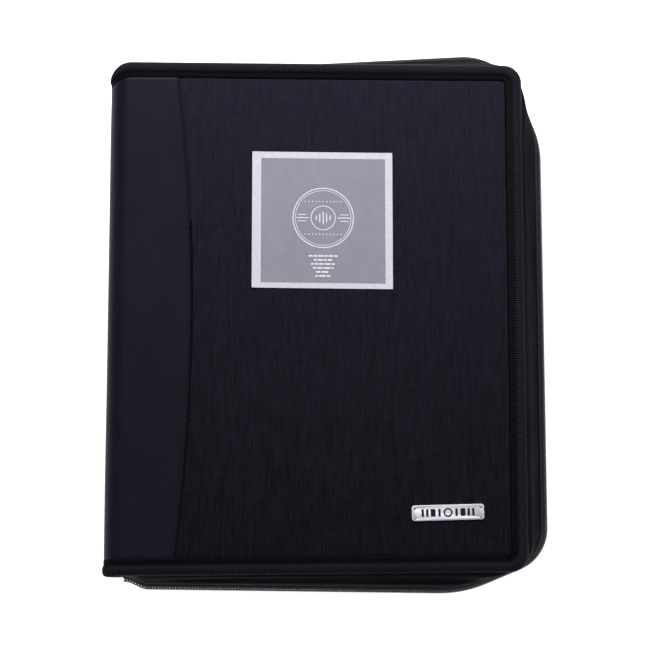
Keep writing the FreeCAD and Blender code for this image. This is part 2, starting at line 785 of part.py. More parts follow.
def rings_and_blades():
    """Two blades with four half rings each, hinged along the middle of the mechanism."""
    across = size("ring_across")
    for side, name in ((-1, "left"), (1, "right")):
        x = "ring_across + ring_split / 2" if side > 0 else "ring_across - blade_wide - ring_split / 2"
        slab = box(f"blade_{name}_slab", x, "-blade_length / 2", f"{FLOOR} + blade_low", "blade_wide",
                   "blade_length", "blade_thick")
        reliefs = []
        for number, end in enumerate((-1, 1)):
            relief = part("Part::Cylinder", f"blade_{name}_relief_{number}", Radius="fix_radius + slot_grow",
                          Height="blade_thick + 2", Placement_at_Base_at_x="ring_across",
                          Placement_at_Base_at_y=f"{end} * fix_across",
                          Placement_at_Base_at_z=f"{FLOOR} + blade_low - 1")
            reliefs.append(relief)
        finish(cut(f"blade_{name}", slab, fuse(f"blade_{name}_reliefs", *reliefs)), f"ring_blade_{name}")
        one = half_ring(side)
        pitch = size("ring_pitch")
        copies = [one.translated(Vector(across, (i - 1.5) * pitch, 0)) for i in range(4)]
        shaped(f"half_rings_{name}", Part.makeCompound(copies))


def levers():
    """Opening levers at both ends of the mechanism, each pinned across the housing's mouth."""
    for end, name in ((-1, "tail"), (1, "head")):
        tongue = box(f"lever_{name}_tongue", "ring_across - lever_tongue / 2", "0",
                     "0", "lever_tongue", "lever_length", "lever_thick")
        thumb = box(f"lever_{name}_thumb", "ring_across - lever_wide / 2", "lever_length * 0.45",
                    "0", "lever_wide", "lever_length * 0.55", "lever_thick * 1.8")
        whole = fuse(f"lever_{name}_whole", tongue, thumb)
        if end < 0:
            whole.Placement = Placement(Vector(2 * size("ring_across"), 0, 0), Rotation(Vector(0, 0, 1), 180))
        bind(whole, Placement_at_Base_at_y=f"{end} * (housing_length / 2 + lever_gap)",
             Placement_at_Base_at_z=f"{FLOOR} + blade_low")
        finish(whole, f"ring_lever_{name}")


# ---- writing pad ----

def writing_pad():
    """An A4 block on a card back that slips under a sleeve on the back lining."""
    finish(plate("pad_card", "sheet_wide", "sheet_long", FLOOR, "card_thick", "pad_across", "pad_up"),
           "pad_card_back")
    body = doc.addObject("PartDesign::Body", "pad_sleeve")
    low = "pad_up - sheet_long / 2 + sleeve_long / 2 - sleeve_margin"
    outline = rectangle(body, "sleeve_outline", "sheet_wide + 2 * sleeve_margin", "sleeve_long", FLOOR,
                        "pad_across", low)
    pad(body, outline, "sleeve_thick")
    doc.recompute()
    hollow = rectangle(body, "sleeve_hollow", "sheet_wide + 2 * card_gap", "sleeve_long", FLOOR,
                       "pad_across", f"{low} + sleeve_margin - card_gap")
    inside = body.newObject("PartDesign::Pocket", "SleeveHollow")
    inside.Profile = hollow
    inside.Reversed = True
    bind(inside, Length="card_thick + card_gap / 2")
    body.Tip = inside
    finish(body, "pad_sleeve")
    finish(plate("pad_block", "sheet_wide", "sheet_long", f"{FLOOR} + sleeve_thick", "block_thick",
                 "pad_across", "pad_up"), "writing_pad")


# ---- organiser inside the front cover ----

CEILING = "(closed_thick - skin_thick - foam_thick - board_thick - lining_thick)"


def zip_pocket():
    """A4 pocket panel on the front lining, with its own short zip."""
    finish(plate("pocket_panel", "pocket_wide", "pocket_long", f"{CEILING} - pocket_thick", "pocket_thick",
                 "pocket_across", "0", "corner_radius / 2"), "zip_pocket_panel")
    finish(plate("pocket_tape", "pocket_zip_long", "pocket_tape_wide",
                 f"{CEILING} - pocket_thick - pocket_tape_thick", "pocket_tape_thick",
                 "pocket_across", "pocket_zip_up"), "pocket_zip_tape")
    coil = "pocket_coil_wide / 2 - coil_gap / 4"
    strips = [box(f"pocket_coil_{n}", "pocket_across - pocket_zip_long / 2",
                  f"pocket_zip_up + {'coil_gap / 4' if n else '-pocket_coil_wide / 2'}",
                  f"{CEILING} - pocket_thick - pocket_tape_thick - pocket_coil_thick",
                  "pocket_zip_long", coil, "pocket_coil_thick") for n in (0, 1)]
    finish(group("pocket_coils", strips), "pocket_zip_coil")


def pocket_slider_frame():
    """Placement of the pocket slider: X along its zip, Y away from the pocket."""
    ceiling = size("closed_thick") - size("skin_thick") - size("foam_thick")
    ceiling -= size("board_thick") + size("lining_thick")
    low = ceiling - size("pocket_thick") - size("pocket_tape_thick") - size("pocket_coil_thick")
    start = size("pocket_across") - size("pocket_zip_long") / 2 + 2
    return Placement(Vector(start, size("pocket_zip_up"), low), Rotation(Vector(1, 0, 0), -90))


def pocket_slider():
    """Slider of the pocket zip, held on the coil by its two folded sides."""
    length = size("slider_length")
    gap = size("slider_gap")
    half = size("pocket_coil_wide") / 2 + gap
    wall = size("slider_plate") * 0.8
    deep = size("pocket_coil_thick")
    top = Part.makeBox(length, wall, 2 * (half + wall), Vector(0, gap, -half - wall))
    sides = [Part.makeBox(length, deep + gap - 0.2, wall, Vector(0, 0.2 - deep, low))
             for low in (half, -half - wall)]
    arch = crown(length, gap + wall)
    shaped("pocket_zip_slider", top.multiFuse([*sides, arch]).removeSplitter(), pocket_slider_frame())
    out = gap + wall + (size("crown_tall") - size("slider_plate")) / 2
    place = pocket_slider_frame().multiply(Placement(Vector(length * 0.5, out, 0), Rotation()))
    shaped("pocket_zip_pull", pull_shape(size("pocket_pull_length")), place)


def card_slots():
    """Four overlapping card slots, the lowest in front."""
    for number in range(4):
        top = f"card_slot_top - {number} * card_slot_step"
        finish(plate(f"card_slot_{number + 1}", "card_slot_wide", f"{top} - card_slot_bottom",
                     f"{CEILING} - pocket_thick - {number + 1} * card_slot_thick", "card_slot_thick",
                     "card_slot_across", f"({top} + card_slot_bottom) / 2"), f"card_slot_{number + 1}")


def phone_pocket():
    """A deep pocket open towards the head of the case."""
    body = doc.addObject("PartDesign::Body", "phone_pocket")
    low = f"{CEILING} - pocket_thick - phone_deep"
    outline = rectangle(body, "phone_outline", "phone_wide", "phone_long", low, "phone_across", "phone_up")
    block = pad(body, outline, "phone_deep")
    round_corners(body, block, "phone_wall * 3")
    doc.recompute()
    hollow = rectangle(body, "phone_hollow", "phone_wide - 2 * phone_wall", "phone_long",
                       f"{low} + phone_wall", "phone_across", "phone_up + phone_wall")
    inside = body.newObject("PartDesign::Pocket", "PhoneHollow")
    inside.Profile = hollow
    inside.Reversed = True
    bind(inside, Length="phone_deep - 1.5 * phone_wall")
    body.Tip = inside
    finish(body, "phone_pocket")


def pen_loops():
    """Two elastic loops side by side, each a flattened ring open along Y."""
    for number in (0, 1):
        middle = f"loop_across + {2 * number - 1} * loop_pitch / 2"
        low = f"{CEILING} - pocket_thick - loop_hole - 2 * loop_wall"
        whole = box(f"loop_{number}_outside", f"{middle} - loop_hole / 2 - loop_wall",
                    "loop_up - loop_long / 2", low, "loop_hole + 2 * loop_wall", "loop_long",
                    "loop_hole + 2 * loop_wall")
        rounded = doc.addObject("Part::Fillet", f"loop_{number}_rounded")
        rounded.Base = whole
        doc.recompute()
        edges = []
        for i, edge in enumerate(whole.Shape.Edges, start=1):
            ends = [v.Point for v in edge.Vertexes]
            along = abs(ends[0].y - ends[1].y) > size("loop_long") / 2
            if along and max(p.z for p in ends) < whole.Shape.BoundBox.Center.z:
                edges.append((i, size("loop_hole") * 0.42, size("loop_hole") * 0.42))
        rounded.Edges = edges
        hole = part("Part::Cylinder", f"loop_{number}_hole", Radius="loop_hole / 2",
                    Height="loop_long + 2")
        hole.Placement.Rotation = Rotation(Vector(1, 0, 0), -90)
        bind(hole, Placement_at_Base_at_x=middle, Placement_at_Base_at_y="loop_up - loop_long / 2 - 1",
             Placement_at_Base_at_z=f"{low} + loop_wall + loop_hole / 2")
        finish(cut(f"loop_{number}", rounded, hole), f"pen_loop_{('inner', 'outer')[number]}")


def write_parts():
    doc.recompute()
    for thing in doc.Objects:
        if {"Invalid", "Error"} & set(thing.State):
            raise SystemExit(f"{thing.Name} failed: {thing.State}")
    os.makedirs("parts", exist_ok=True)
    for thing in finished:
        shape = thing.Shape
        if shape.isNull() or not shape.isValid() or not shape.Solids:
            raise SystemExit(f"{thing.Label} has no sound shape")
        shape.exportStep(f"parts/{thing.Label}.step")
        bb = shape.BoundBox
        print(f"{thing.Label:22s} solids {len(shape.Solids)} volume {shape.Volume:9.0f}"
              f" x {bb.XMin:8.2f}..{bb.XMax:7.2f} y {bb.YMin:8.2f}..{bb.YMax:7.2f}"
              f" z {bb.ZMin:5.1f}..{bb.ZMax:5.1f}")
    print(len(finished), "pieces")


cover_layers()
bindings()
spine_rolls()
spine_pieces()
gussets()
zip_chain()
zip_stops()
main_slider()
main_pull()
label_and_nameplate()
ring_housing()
rings_and_blades()
levers()
writing_pad()
zip_pocket()
pocket_slider()
card_slots()
phone_pocket()
pen_loops()
write_parts()
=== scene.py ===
import math
import random

import bmesh
import bpy
from mathutils import Matrix, Vector, noise


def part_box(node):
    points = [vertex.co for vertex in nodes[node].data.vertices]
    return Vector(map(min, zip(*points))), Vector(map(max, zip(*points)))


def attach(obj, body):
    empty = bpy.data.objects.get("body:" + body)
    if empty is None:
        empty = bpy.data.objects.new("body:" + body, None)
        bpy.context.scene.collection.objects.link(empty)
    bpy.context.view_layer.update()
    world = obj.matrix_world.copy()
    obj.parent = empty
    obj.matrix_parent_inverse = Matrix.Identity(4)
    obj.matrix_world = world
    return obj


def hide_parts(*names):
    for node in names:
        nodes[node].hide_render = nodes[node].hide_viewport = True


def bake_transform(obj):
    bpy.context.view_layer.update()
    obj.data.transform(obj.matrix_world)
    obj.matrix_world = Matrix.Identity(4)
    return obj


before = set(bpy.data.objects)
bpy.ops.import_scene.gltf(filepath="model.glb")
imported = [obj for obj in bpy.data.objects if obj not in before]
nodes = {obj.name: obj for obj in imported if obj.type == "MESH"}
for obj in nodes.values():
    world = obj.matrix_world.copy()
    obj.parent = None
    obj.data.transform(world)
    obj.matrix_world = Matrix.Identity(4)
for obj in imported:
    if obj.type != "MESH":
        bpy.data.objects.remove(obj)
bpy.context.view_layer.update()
mm = 0.001  # shapes below are drawn in millimetres and scaled once, in finishPiece
print("frame loaded:", len(nodes), "CAD nodes")


def edgeOf(node, axis, high):
    # one face of a CAD node's box, in millimetres
    return getattr(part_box(node)[1 if high else 0], axis) / mm


# ---- shape helpers ----

case = {
    "crease": edgeOf("front_leather_panel", "x", False),  # where the flat of a cover ends
    "back": edgeOf("spine_leather", "x", False),
    "fore": edgeOf("front_binding", "x", True),
    "half": edgeOf("front_binding", "y", True),
    "top": edgeOf("front_cover_cloth", "z", True),
    "rollLow": edgeOf("spine_leather", "z", True),  # where the front roll starts above the spine
    "panelFore": edgeOf("front_cover_cloth", "x", True),
    "panelHalf": edgeOf("front_cover_cloth", "y", True),
    "seamMiddle": edgeOf("front_leather_panel", "x", True),
    "seamEnd": edgeOf("front_cover_cloth", "x", False),
    "ceiling": edgeOf("front_lining", "z", False),
    "bindingLow": edgeOf("front_binding", "z", False),
    "tapeTop": edgeOf("front_zip_tape", "z", True),
    "zipFore": edgeOf("front_gusset", "x", True),
}
midHeight = case["top"] / 2
rollRadius = case["top"] - case["rollLow"]
bindingWide = case["fore"] - case["panelFore"]
core = Vector((0, 0, midHeight))


def smooth(x):
    x = min(1.0, max(0.0, x))
    return x * x * (3 - 2 * x)


def between(table, x):
    # straight steps through (x, value) pairs
    for (x0, y0), (x1, y1) in zip(table, table[1:]):
        if x <= x1:
            return y0 + (y1 - y0) * max(0.0, x - x0) / (x1 - x0)
    return table[-1][1]


def surface(across, along, place, span=(1, 1), join=False, facing=1, thick=0.0, about=core):
    # a grid bent to shape: place(u, v) gives points in millimetres, and the UV map runs in metres
    bm = bmesh.new()
    run = bm.loops.layers.uv.new("run")
    bmesh.ops.create_grid(bm, x_segments=across, y_segments=along, size=0.5)
    share = {vert: (vert.co.x + 0.5, vert.co.y + 0.5) for vert in bm.verts}
    for face in bm.faces:
        for loop in face.loops:
            u, v = share[loop.vert]
            loop[run].uv = (u * span[0] * mm, v * span[1] * mm)
    for vert, (u, v) in share.items():
        vert.co = place(u, v)
    if join:
        bmesh.ops.remove_doubles(bm, verts=bm.verts, dist=0.0005)
        bmesh.ops.holes_fill(bm, edges=[e for e in bm.edges if e.is_boundary], sides=0)
        bmesh.ops.recalc_face_normals(bm, faces=bm.faces)
        return bm
    bm.normal_update()
    turned = sum(f.normal.dot(f.calc_center_median() - about) * f.calc_area() for f in bm.faces)
    if turned * facing < 0:
        bmesh.ops.reverse_faces(bm, faces=bm.faces)
        bm.normal_update()
    if thick:
        bmesh.ops.solidify(bm, geom=bm.faces[:], thickness=thick)
    return bm


def reflect(bm, axis, at=0.0, keep=False):
    # mirror the shape in one axis, or add its mirror image when keep is set
    geom = bm.verts[:] + bm.edges[:] + bm.faces[:]
    if keep:
        geom = bmesh.ops.duplicate(bm, geom=geom)["geom"]
    flip = Vector((1, 1, 1))
    flip[axis] = -1
    shift = Vector()
    shift[axis] = -at
    bmesh.ops.scale(bm, vec=flip, space=Matrix.Translation(shift),
                    verts=[g for g in geom if isinstance(g, bmesh.types.BMVert)])
    bmesh.ops.reverse_faces(bm, faces=[g for g in geom if isinstance(g, bmesh.types.BMFace)])
    return bm


def finishPiece(bm, name, materials, body=None, stands=(), sharp=35):
    bmesh.ops.scale(bm, vec=(mm, mm, mm), verts=bm.verts)
    mesh = bpy.data.meshes.new(name)
    bm.to_mesh(mesh)
    bm.free()
    piece = bpy.data.objects.new(name, mesh)
    bpy.context.scene.collection.objects.link(piece)
    for material in materials if isinstance(materials, list) else [materials]:
        mesh.materials.append(material)
    mesh.shade_smooth()
    mesh.set_sharp_from_angle(angle=math.radians(sharp))
    if body:
        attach(piece, body)
    if stands:
        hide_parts(*stands)
    return piece


def openRun(corners, radii):
    # a line round the fore edge: straights joined by bends
    stages = []
    start = corners[0]
    for before, corner, after, radius in zip(corners, corners[1:], corners[2:], radii):
        ahead = (corner - before).normalized()
        turned = (after - corner).normalized()
        angle = ahead.angle(turned)
        reach = radius * math.tan(angle / 2)
        first = corner - ahead * reach
        stages.append((start, ahead, (first - start).length, 0.0))
        stages.append((first, ahead, radius, angle))
        start = corner + turned * reach
    last = corners[-1] - start
    stages.append((start, last.normalized(), last.length, 0.0))
    return stages


def stageLengths(run):
    return [size * angle if angle else size for start, ahead, size, angle in run]


def onRun(run, lengths, distance):
    # point and outward direction on a run, at a distance measured along the reference lengths
    stage = 0
    while stage < len(lengths) - 1 and distance > lengths[stage]:
        distance -= lengths[stage]
        stage += 1
    share = distance / lengths[stage]
    start, ahead, size, angle = run[stage]
    out = Vector((-ahead.y, ahead.x, 0))
    if not angle:
        return start + ahead * size * share, out
    turn = Matrix.Rotation(-angle * share, 3, "Z")
    return start - out * size + turn @ out * size, turn @ out


outline = {  # the two outlines, in millimetres
    "coverCorner": 12.0,
    "tighten": 0.68,
    "flare": 0.017,  # the covers are this much longer at the spine than at the fore edge
    "driftEnd": 54.0,  # the zip's drift outwards ends this far from its fore line
    "headSpine": -1.0, "headFore": 10.6,  # how far the zip stands out beyond the cover
    "tailSpine": 10.0, "tailFore": 13.0,
    # the zip cuts each corner off: how far down the fore side and along the end, and the two bends
    "headCut": (63.0, 25.6), "headBends": (40.0, 60.0),
    "tailCut": (24.0, 56.0), "tailBends": (80.0, 29.0),
    "rollIn": 6.6, "rollRound": 15.0,  # the spine roll's head end is drawn in, over this width
    "tailTuck": 5.0, "tuckLong": 16.0,  # its tail end slips in behind the binding
}


def coverRun(inset):
    # the cover's outline, moved in; its corner tightens less than the inset, as folded tape does
    half = case["half"] - inset
    fore = case["fore"] - inset
    left = case["crease"]
    corners = [Vector((left, half, 0)), Vector((fore, half, 0)),
               Vector((fore, -half, 0)), Vector((left, -half, 0))]
    return openRun(corners, [outline["coverCorner"] - outline["tighten"] * inset] * 2)


def zipRun(share, inset=0.0):
    # the cover outline at share 0, and the zip's line at 1
    left = case["crease"]
    fore = case["fore"] + share * (case["zipFore"] - case["fore"]) - inset
    straight = case["zipFore"] - outline["driftEnd"] - left
    even = outline["coverCorner"] * (2 - math.sqrt(2))  # at this cut the two bends make one arc

    def grown(small, large):
        return small + share * (large - small)

    def end(name):
        near, far = share * outline[name + "Spine"], share * outline[name + "Fore"]
        down, along = (grown(even, cut) for cut in outline[name + "Cut"])
        gap = inset * (math.hypot(down, along) - down - along)
        down, along = down + gap / along, along + gap / down
        bends = [grown(outline["coverCorner"] - 1, bend) - inset for bend in outline[name + "Bends"]]
        close = case["half"] + near - inset
        wide = close + (far - near) * (fore + inset - left) / straight
        return close, wide, wide - (wide - close) * along / (fore - left), down, along, bends

    head, headFar, headCut, headDown, headAlong, headBends = end("head")
    tail, tailFar, tailCut, tailDown, tailAlong, tailBends = end("tail")
    corners = [Vector((left, head, 0)), Vector((fore - headAlong, headCut, 0)),
               Vector((fore, headFar - headDown, 0)), Vector((fore, tailDown - tailFar, 0)),
               Vector((fore - tailAlong, -tailCut, 0)), Vector((left, -tail, 0))]
    return openRun(corners, headBends + tailBends[::-1])


def tucked(point, out, toEnd):
    return point - out * outline["tailTuck"] * (1 - smooth(toEnd / outline["tuckLong"]))


def flareAt(x):
    return 1 + outline["flare"] * (case["fore"] - x) / (case["fore"] - case["back"])


def flared(bm):
    for vert in bm.verts:
        vert.co.y *= flareAt(vert.co.x)
        near = max(0.0, 1 - (vert.co.x - case["back"]) / outline["rollRound"])
        vert.co.y -= max(0.0, vert.co.y / case["half"]) * outline["rollIn"] * near ** 2
    return bm


def toBack(bm):
    # the back cover mirrors the front, and is pressed flat where it meets the table
    reflect(bm, 2, midHeight)
    for vert in bm.verts:
        vert.co.z *= 0.1 if vert.co.z < 0 else 1
    return bm


seam = {
    "lap": 1.6,  # the leather's folded edge lies over the woven cloth by this
    "stitchIn": 1.5,  # stitch line, in from the folded edge
    "stitchPitch": 3.7,
    "stitchLong": 2.4,
}
seamSag = case["seamMiddle"] - case["seamEnd"]
seamRadius = (case["panelHalf"] ** 2 + seamSag ** 2) / (2 * seamSag)


def seamAt(y):
    # the curved join of leather and cloth, with the leather's lap
    drop = seamRadius - math.sqrt(seamRadius ** 2 - y ** 2)
    return case["seamMiddle"] - drop + seam["lap"]


def cornered(x, y, right, half):
    # rounds off the fore corners of a sheet that reaches right and half
    radius = outline["coverCorner"] - 2
    past, beside = max(0.0, x - right + radius), max(0.0, abs(y) - half + radius)
    pull = 1 - max(past, beside) / max(math.hypot(past, beside), 1e-9)
    return (x - past * pull, y - math.copysign(beside * pull, y)) if past * beside else (x, y)


def edgeSink(x, y):
    # how far the skin sinks towards the binding, in millimetres
    near = min(case["half"] - abs(y), case["fore"] - x)
    return 0.5 * (1 - smooth((near - 10.2) / 2.4))


# ---- materials ----

def srgb(code):
    parts = [int(code[i:i + 2], 16) / 255 for i in (0, 2, 4)]
    return [p / 12.92 if p <= 0.04045 else ((p + 0.055) / 1.055) ** 2.4 for p in parts] + [1.0]


def newMaterial(name, colour, sockets):
    material = bpy.data.materials.new(name)
    material.use_nodes = True
    tree = material.node_tree
    shader = tree.nodes["Principled BSDF"]
    shader.inputs["Base Color"].default_value = srgb(colour)
    for socket, value in sockets.items():
        shader.inputs[socket].default_value = value
    return material, tree, shader


def addNode(tree, kind, inputs=None, to=None, **settings):
    node = tree.nodes.new(kind)
    for name, value in settings.items():
        setattr(node, name, value)
    for socket, value in (inputs or {}).items():
        if isinstance(value, bpy.types.NodeSocket):
            tree.links.new(value, node.inputs[socket])
        else:
            node.inputs[socket].default_value = value
    for shader, socket, output in [to] if to else []:
        tree.links.new(node.outputs[output], shader.inputs[socket])
    return node


def grain(tree, where, size, detail=2.0, roughness=0.5):
    # noise whose blobs measure size (across, along, up) in millimetres
    scaled = addNode(tree, "ShaderNodeMapping",
                     {"Vector": where, "Scale": tuple(1 / (s * mm) for s in size)})
    return addNode(tree, "ShaderNodeTexNoise",
                   {"Vector": scaled.outputs[0], "Scale": 1.0, "Detail": detail,
                    "Roughness": roughness}).outputs[0]


def weave(tree, where, pitch, wobble=0.0, axes="XY"):
    # crossing threads: bands both ways, added; pitch in millimetres
    total = None
    for axis, size in zip(axes, pitch):
        bands = addNode(tree, "ShaderNodeTexWave",
                        {"Vector": where, "Scale": math.pi / 10 / (size * mm),
                         "Distortion": wobble, "Detail": 1.0},
                        bands_direction=axis).outputs["Fac"]
        total = bands if total is None else addNode(
            tree, "ShaderNodeMath", {0: total, 1: bands}, operation="ADD").outputs[0]
    return total


def mixed(tree, first, second, share):
    # first and second as one height or factor
    part = addNode(tree, "ShaderNodeMath", {0: second, 1: share}, operation="MULTIPLY").outputs[0]
    return addNode(tree, "ShaderNodeMath", {0: first, 1: part}, operation="ADD").outputs[0]


def tones(tree, shader, factor, dark, light, low=0.3, high=0.7):
    # colour from dark to light as factor goes from low to high
    share = addNode(tree, "ShaderNodeMapRange",
                    {"Value": factor, "From Min": low, "From Max": high}).outputs[0]
    addNode(tree, "ShaderNodeMix", {0: share, 6: srgb(dark), 7: srgb(light)},
            to=(shader, "Base Color", 2), data_type="RGBA")


def relief(tree, shader, height, depth, strength=1.0):
    # bump whose full height is depth millimetres
    addNode(tree, "ShaderNodeBump", {"Height": height, "Distance": depth * mm, "Strength": strength},
            to=(shader, "Normal", 0))


finishes = {}
coil = {"pitch": 1.9, "wire": 0.42, "halfWide": 1.0, "halfTall": 1.15, "sides": 6, "perTurn": 10}


def makeFinishes():
    # polyester linen look: uneven warp slubs run head to tail; dull, with a faint blue-black cast.
    # the thread pitch is drawn at 1.1 mm, about twice the real one, so that it shows
    m, tree, shader = newMaterial("wovenPolyester", "1a1a24", {
        "Roughness": 0.72, "IOR": 1.5, "Specular IOR Level": 0.07,
        "Sheen Weight": 0.012, "Sheen Roughness": 0.5})
    where = addNode(tree, "ShaderNodeTexCoord").outputs["Object"]
    slubs = grain(tree, where, (1.0, 16, 9), 3.0, 0.6)
    picks = grain(tree, where, (9, 1.1, 9), 2.0)
    threads = weave(tree, where, (1.1, 1.3), 1.2)
    tone = mixed(tree, mixed(tree, slubs, picks, 0.35), threads, 0.10)
    # painted shade: the cloth is painted darker towards the tail and lighter towards the head, the side
    # the light falls from
    paintedLightFalloff = addNode(tree, "ShaderNodeSeparateXYZ", {0: where}).outputs[1]
    shade = mixed(tree, tone, paintedLightFalloff, 1.2)
    tones(tree, shader, shade, "06060b", "1d1d2b", 0.48, 1.2)
    relief(tree, shader, tone, 0.22)
    finishes["woven"] = m

    # smooth polyurethane leather: even, slightly shiny, with a very fine pebble
    m, tree, shader = newMaterial("smoothLeather", "1b1b24", {
        "Roughness": 0.46, "IOR": 1.5, "Specular IOR Level": 0.07})
    where = addNode(tree, "ShaderNodeTexCoord").outputs["Object"]
    pebble = grain(tree, where, (0.7, 0.7, 0.7), 3.0, 0.6)
    cloud = grain(tree, where, (18, 40, 18), 2.0)
    tones(tree, shader, mixed(tree, cloud, pebble, 0.25), "10101b", "141421", 0.4, 0.85)
    relief(tree, shader, pebble, 0.05)
    finishes["leather"] = m

    # grosgrain ribbon: the ribs are in the mesh, 1.5 mm apart; the crests are painted paler than the
    # grooves as painted highlight, and the flange inside the roll and the roll's outer wall are painted
    # nearly black as painted shade
    m, tree, shader = newMaterial("grosgrainRibbon", "17161c", {
        "Roughness": 0.5, "IOR": 1.5, "Specular IOR Level": 0.05})
    where = addNode(tree, "ShaderNodeUVMap", uv_map="run").outputs[0]
    strands = grain(tree, where, (0.5, 1.2, 1), 2.0)
    # painted highlight: the rib crests are painted paler than the grooves
    paintedRibHighlight = addNode(tree, "ShaderNodeTexWave", {
        "Vector": where, "Scale": math.pi / 10 / (1.5 * mm), "Phase Offset": math.pi},
        bands_direction="X").outputs["Fac"]
    across = addNode(tree, "ShaderNodeSeparateXYZ", {0: where}).outputs[1]
    ridge = mixed(tree, paintedRibHighlight, strands, 0.5)
    # painted shade: the flange and valley inside the roll, and the roll's outer wall and underside, are
    # darkened across the tape
    for near, far, least, most in ((7.0, 9.5, 0.1, 1.0), (14.0, 16.0, 1.0, 0.25)):
        paintedShadeFade = addNode(tree, "ShaderNodeMapRange", {
            "Value": across, "From Min": near * mm, "From Max": far * mm, "To Min": least,
            "To Max": most}).outputs[0]
        ridge = addNode(tree, "ShaderNodeMath", {0: ridge, 1: paintedShadeFade}, operation="MULTIPLY").outputs[0]
    tones(tree, shader, ridge, "040407", "201f2a", 0.2, 1.15)
    relief(tree, shader, strands, 0.08)
    finishes["grosgrain"] = m

    # close plain-weave nylon: smoother than the cover, a soft gloss along its folds
    m, tree, shader = newMaterial("gussetNylon", "17161d", {
        "Roughness": 0.5, "IOR": 1.5, "Specular IOR Level": 0.08})
    where = addNode(tree, "ShaderNodeUVMap", uv_map="run").outputs[0]
    threads = weave(tree, where, (0.9, 0.9), 0.6)
    cloud = grain(tree, where, (26, 9, 1), 2.0)
    tones(tree, shader, mixed(tree, cloud, threads, 0.08), "0b0b10", "17161e", 0.4, 0.8)
    relief(tree, shader, threads, 0.04)
    finishes["gusset"] = m

    # zip tape: fine lengthwise cords in a twill
    m, tree, shader = newMaterial("zipTapeTwill", "15141a", {
        "Roughness": 0.6, "IOR": 1.5, "Specular IOR Level": 0.06})
    where = addNode(tree, "ShaderNodeUVMap", uv_map="run").outputs[0]
    cords = weave(tree, where, (0.9, 1.1), 0.4)
    tones(tree, shader, cords, "08080b", "121117", 0.3, 1.6)
    relief(tree, shader, cords, 0.07)
    finishes["tape"] = m

    # extruded nylon monofilament: the outer side of each turn is painted pale as painted highlight, and
    # its root is painted black as painted shade
    m, tree, shader = newMaterial("nylonMonofilament", "1c1b22", {
        "Roughness": 0.26, "IOR": 1.53, "Specular IOR Level": 0.3})
    run = addNode(tree, "ShaderNodeUVMap", uv_map="run").outputs[0]
    # painted highlight on the outer side of each turn, painted shade at its root
    paintedTurnHighlight = addNode(tree, "ShaderNodeTexWave", {
        "Vector": run, "Scale": math.pi / 10 / (coil["pitch"] * mm), "Phase Offset": math.pi / 2},
        bands_direction="X").outputs["Fac"]
    where = addNode(tree, "ShaderNodeTexCoord").outputs["Object"]
    scuff = grain(tree, where, (3, 3, 1), 3.0)
    tones(tree, shader, mixed(tree, paintedTurnHighlight, scuff, 0.3), "030305", "6e6d7c", 0.7, 1.1)
    relief(tree, shader, grain(tree, where, (0.4, 0.4, 0.4), 1.0), 0.01)
    finishes["coil"] = m

    # coated card: off-white, faint fibre mottling
    m, tree, shader = newMaterial("coatedCard", "dedce6", {
        "Roughness": 0.62, "IOR": 1.5, "Specular IOR Level": 0.3})
    where = addNode(tree, "ShaderNodeTexCoord").outputs["Object"]
    fibres = grain(tree, where, (1.6, 1.2, 1), 4.0, 0.65)
    tones(tree, shader, fibres, "bbb9c3", "cccbd3", 0.3, 0.7)
    relief(tree, shader, fibres, 0.02)
    finishes["card"] = m

    # flat grey offset ink on the card, slightly uneven
    m, tree, shader = newMaterial("greyInk", "9995a3", {
        "Roughness": 0.55, "IOR": 1.5, "Specular IOR Level": 0.25})
    where = addNode(tree, "ShaderNodeTexCoord").outputs["Object"]
    blotch = grain(tree, where, (7, 9, 1), 3.0)
    fibres = grain(tree, where, (0.9, 0.9, 1), 3.0)
    tones(tree, shader, mixed(tree, blotch, fibres, 0.3), "827e8c", "888492", 0.4, 0.9)
    relief(tree, shader, fibres, 0.012)
    finishes["greyInk"] = m

    # unprinted card showing through the grey: white lines, their edges a little soft
    m, tree, shader = newMaterial("whiteInk", "e8e7ef", {"Roughness": 0.55, "IOR": 1.5})
    where = addNode(tree, "ShaderNodeTexCoord").outputs["Object"]
    tones(tree, shader, grain(tree, where, (0.8, 0.8, 1), 2.0), "cfcdd8", "e2e1e8", 0.3, 0.7)
    finishes["whiteInk"] = m

    # rolled aluminium, brushed along its length and clear anodised: soft streaky reflections
    m, tree, shader = newMaterial("satinAluminium", "c8c7cd", {
        "Metallic": 1.0, "Roughness": 0.5})
    where = addNode(tree, "ShaderNodeTexCoord").outputs["Object"]
    brushed = grain(tree, where, (9, 0.35, 3), 3.0, 0.6)
    tones(tree, shader, brushed, "c3c2cb", "dedce6", 0.3, 0.7)
    relief(tree, shader, brushed, 0.012)
    finishes["aluminium"] = m

    # the rivet heads are painted a darker grey than the plate, as painted shade standing in for the
    # shadow round their rims
    m, tree, shader = newMaterial("rivetShadeAluminium", "a3a1ac", {"Metallic": 1.0, "Roughness": 0.55})
    where = addNode(tree, "ShaderNodeTexCoord").outputs["Object"]
    rivetMottle = grain(tree, where, (0.8, 0.8, 0.8), 3.0)
    tones(tree, shader, rivetMottle, "8f8d99", "bab8c4", 0.3, 0.7)
    relief(tree, shader, rivetMottle, 0.03)
    finishes["rivet"] = m

    # dark baked enamel in the plate's recesses
    m, tree, shader = newMaterial("darkEnamel", "14141f", {
        "Roughness": 0.5, "IOR": 1.5, "Specular IOR Level": 0.15})
    where = addNode(tree, "ShaderNodeTexCoord").outputs["Object"]
    tones(tree, shader, grain(tree, where, (0.6, 0.6, 0.6), 2.0), "0b0b14", "161622", 0.3, 0.7)
    finishes["enamel"] = m

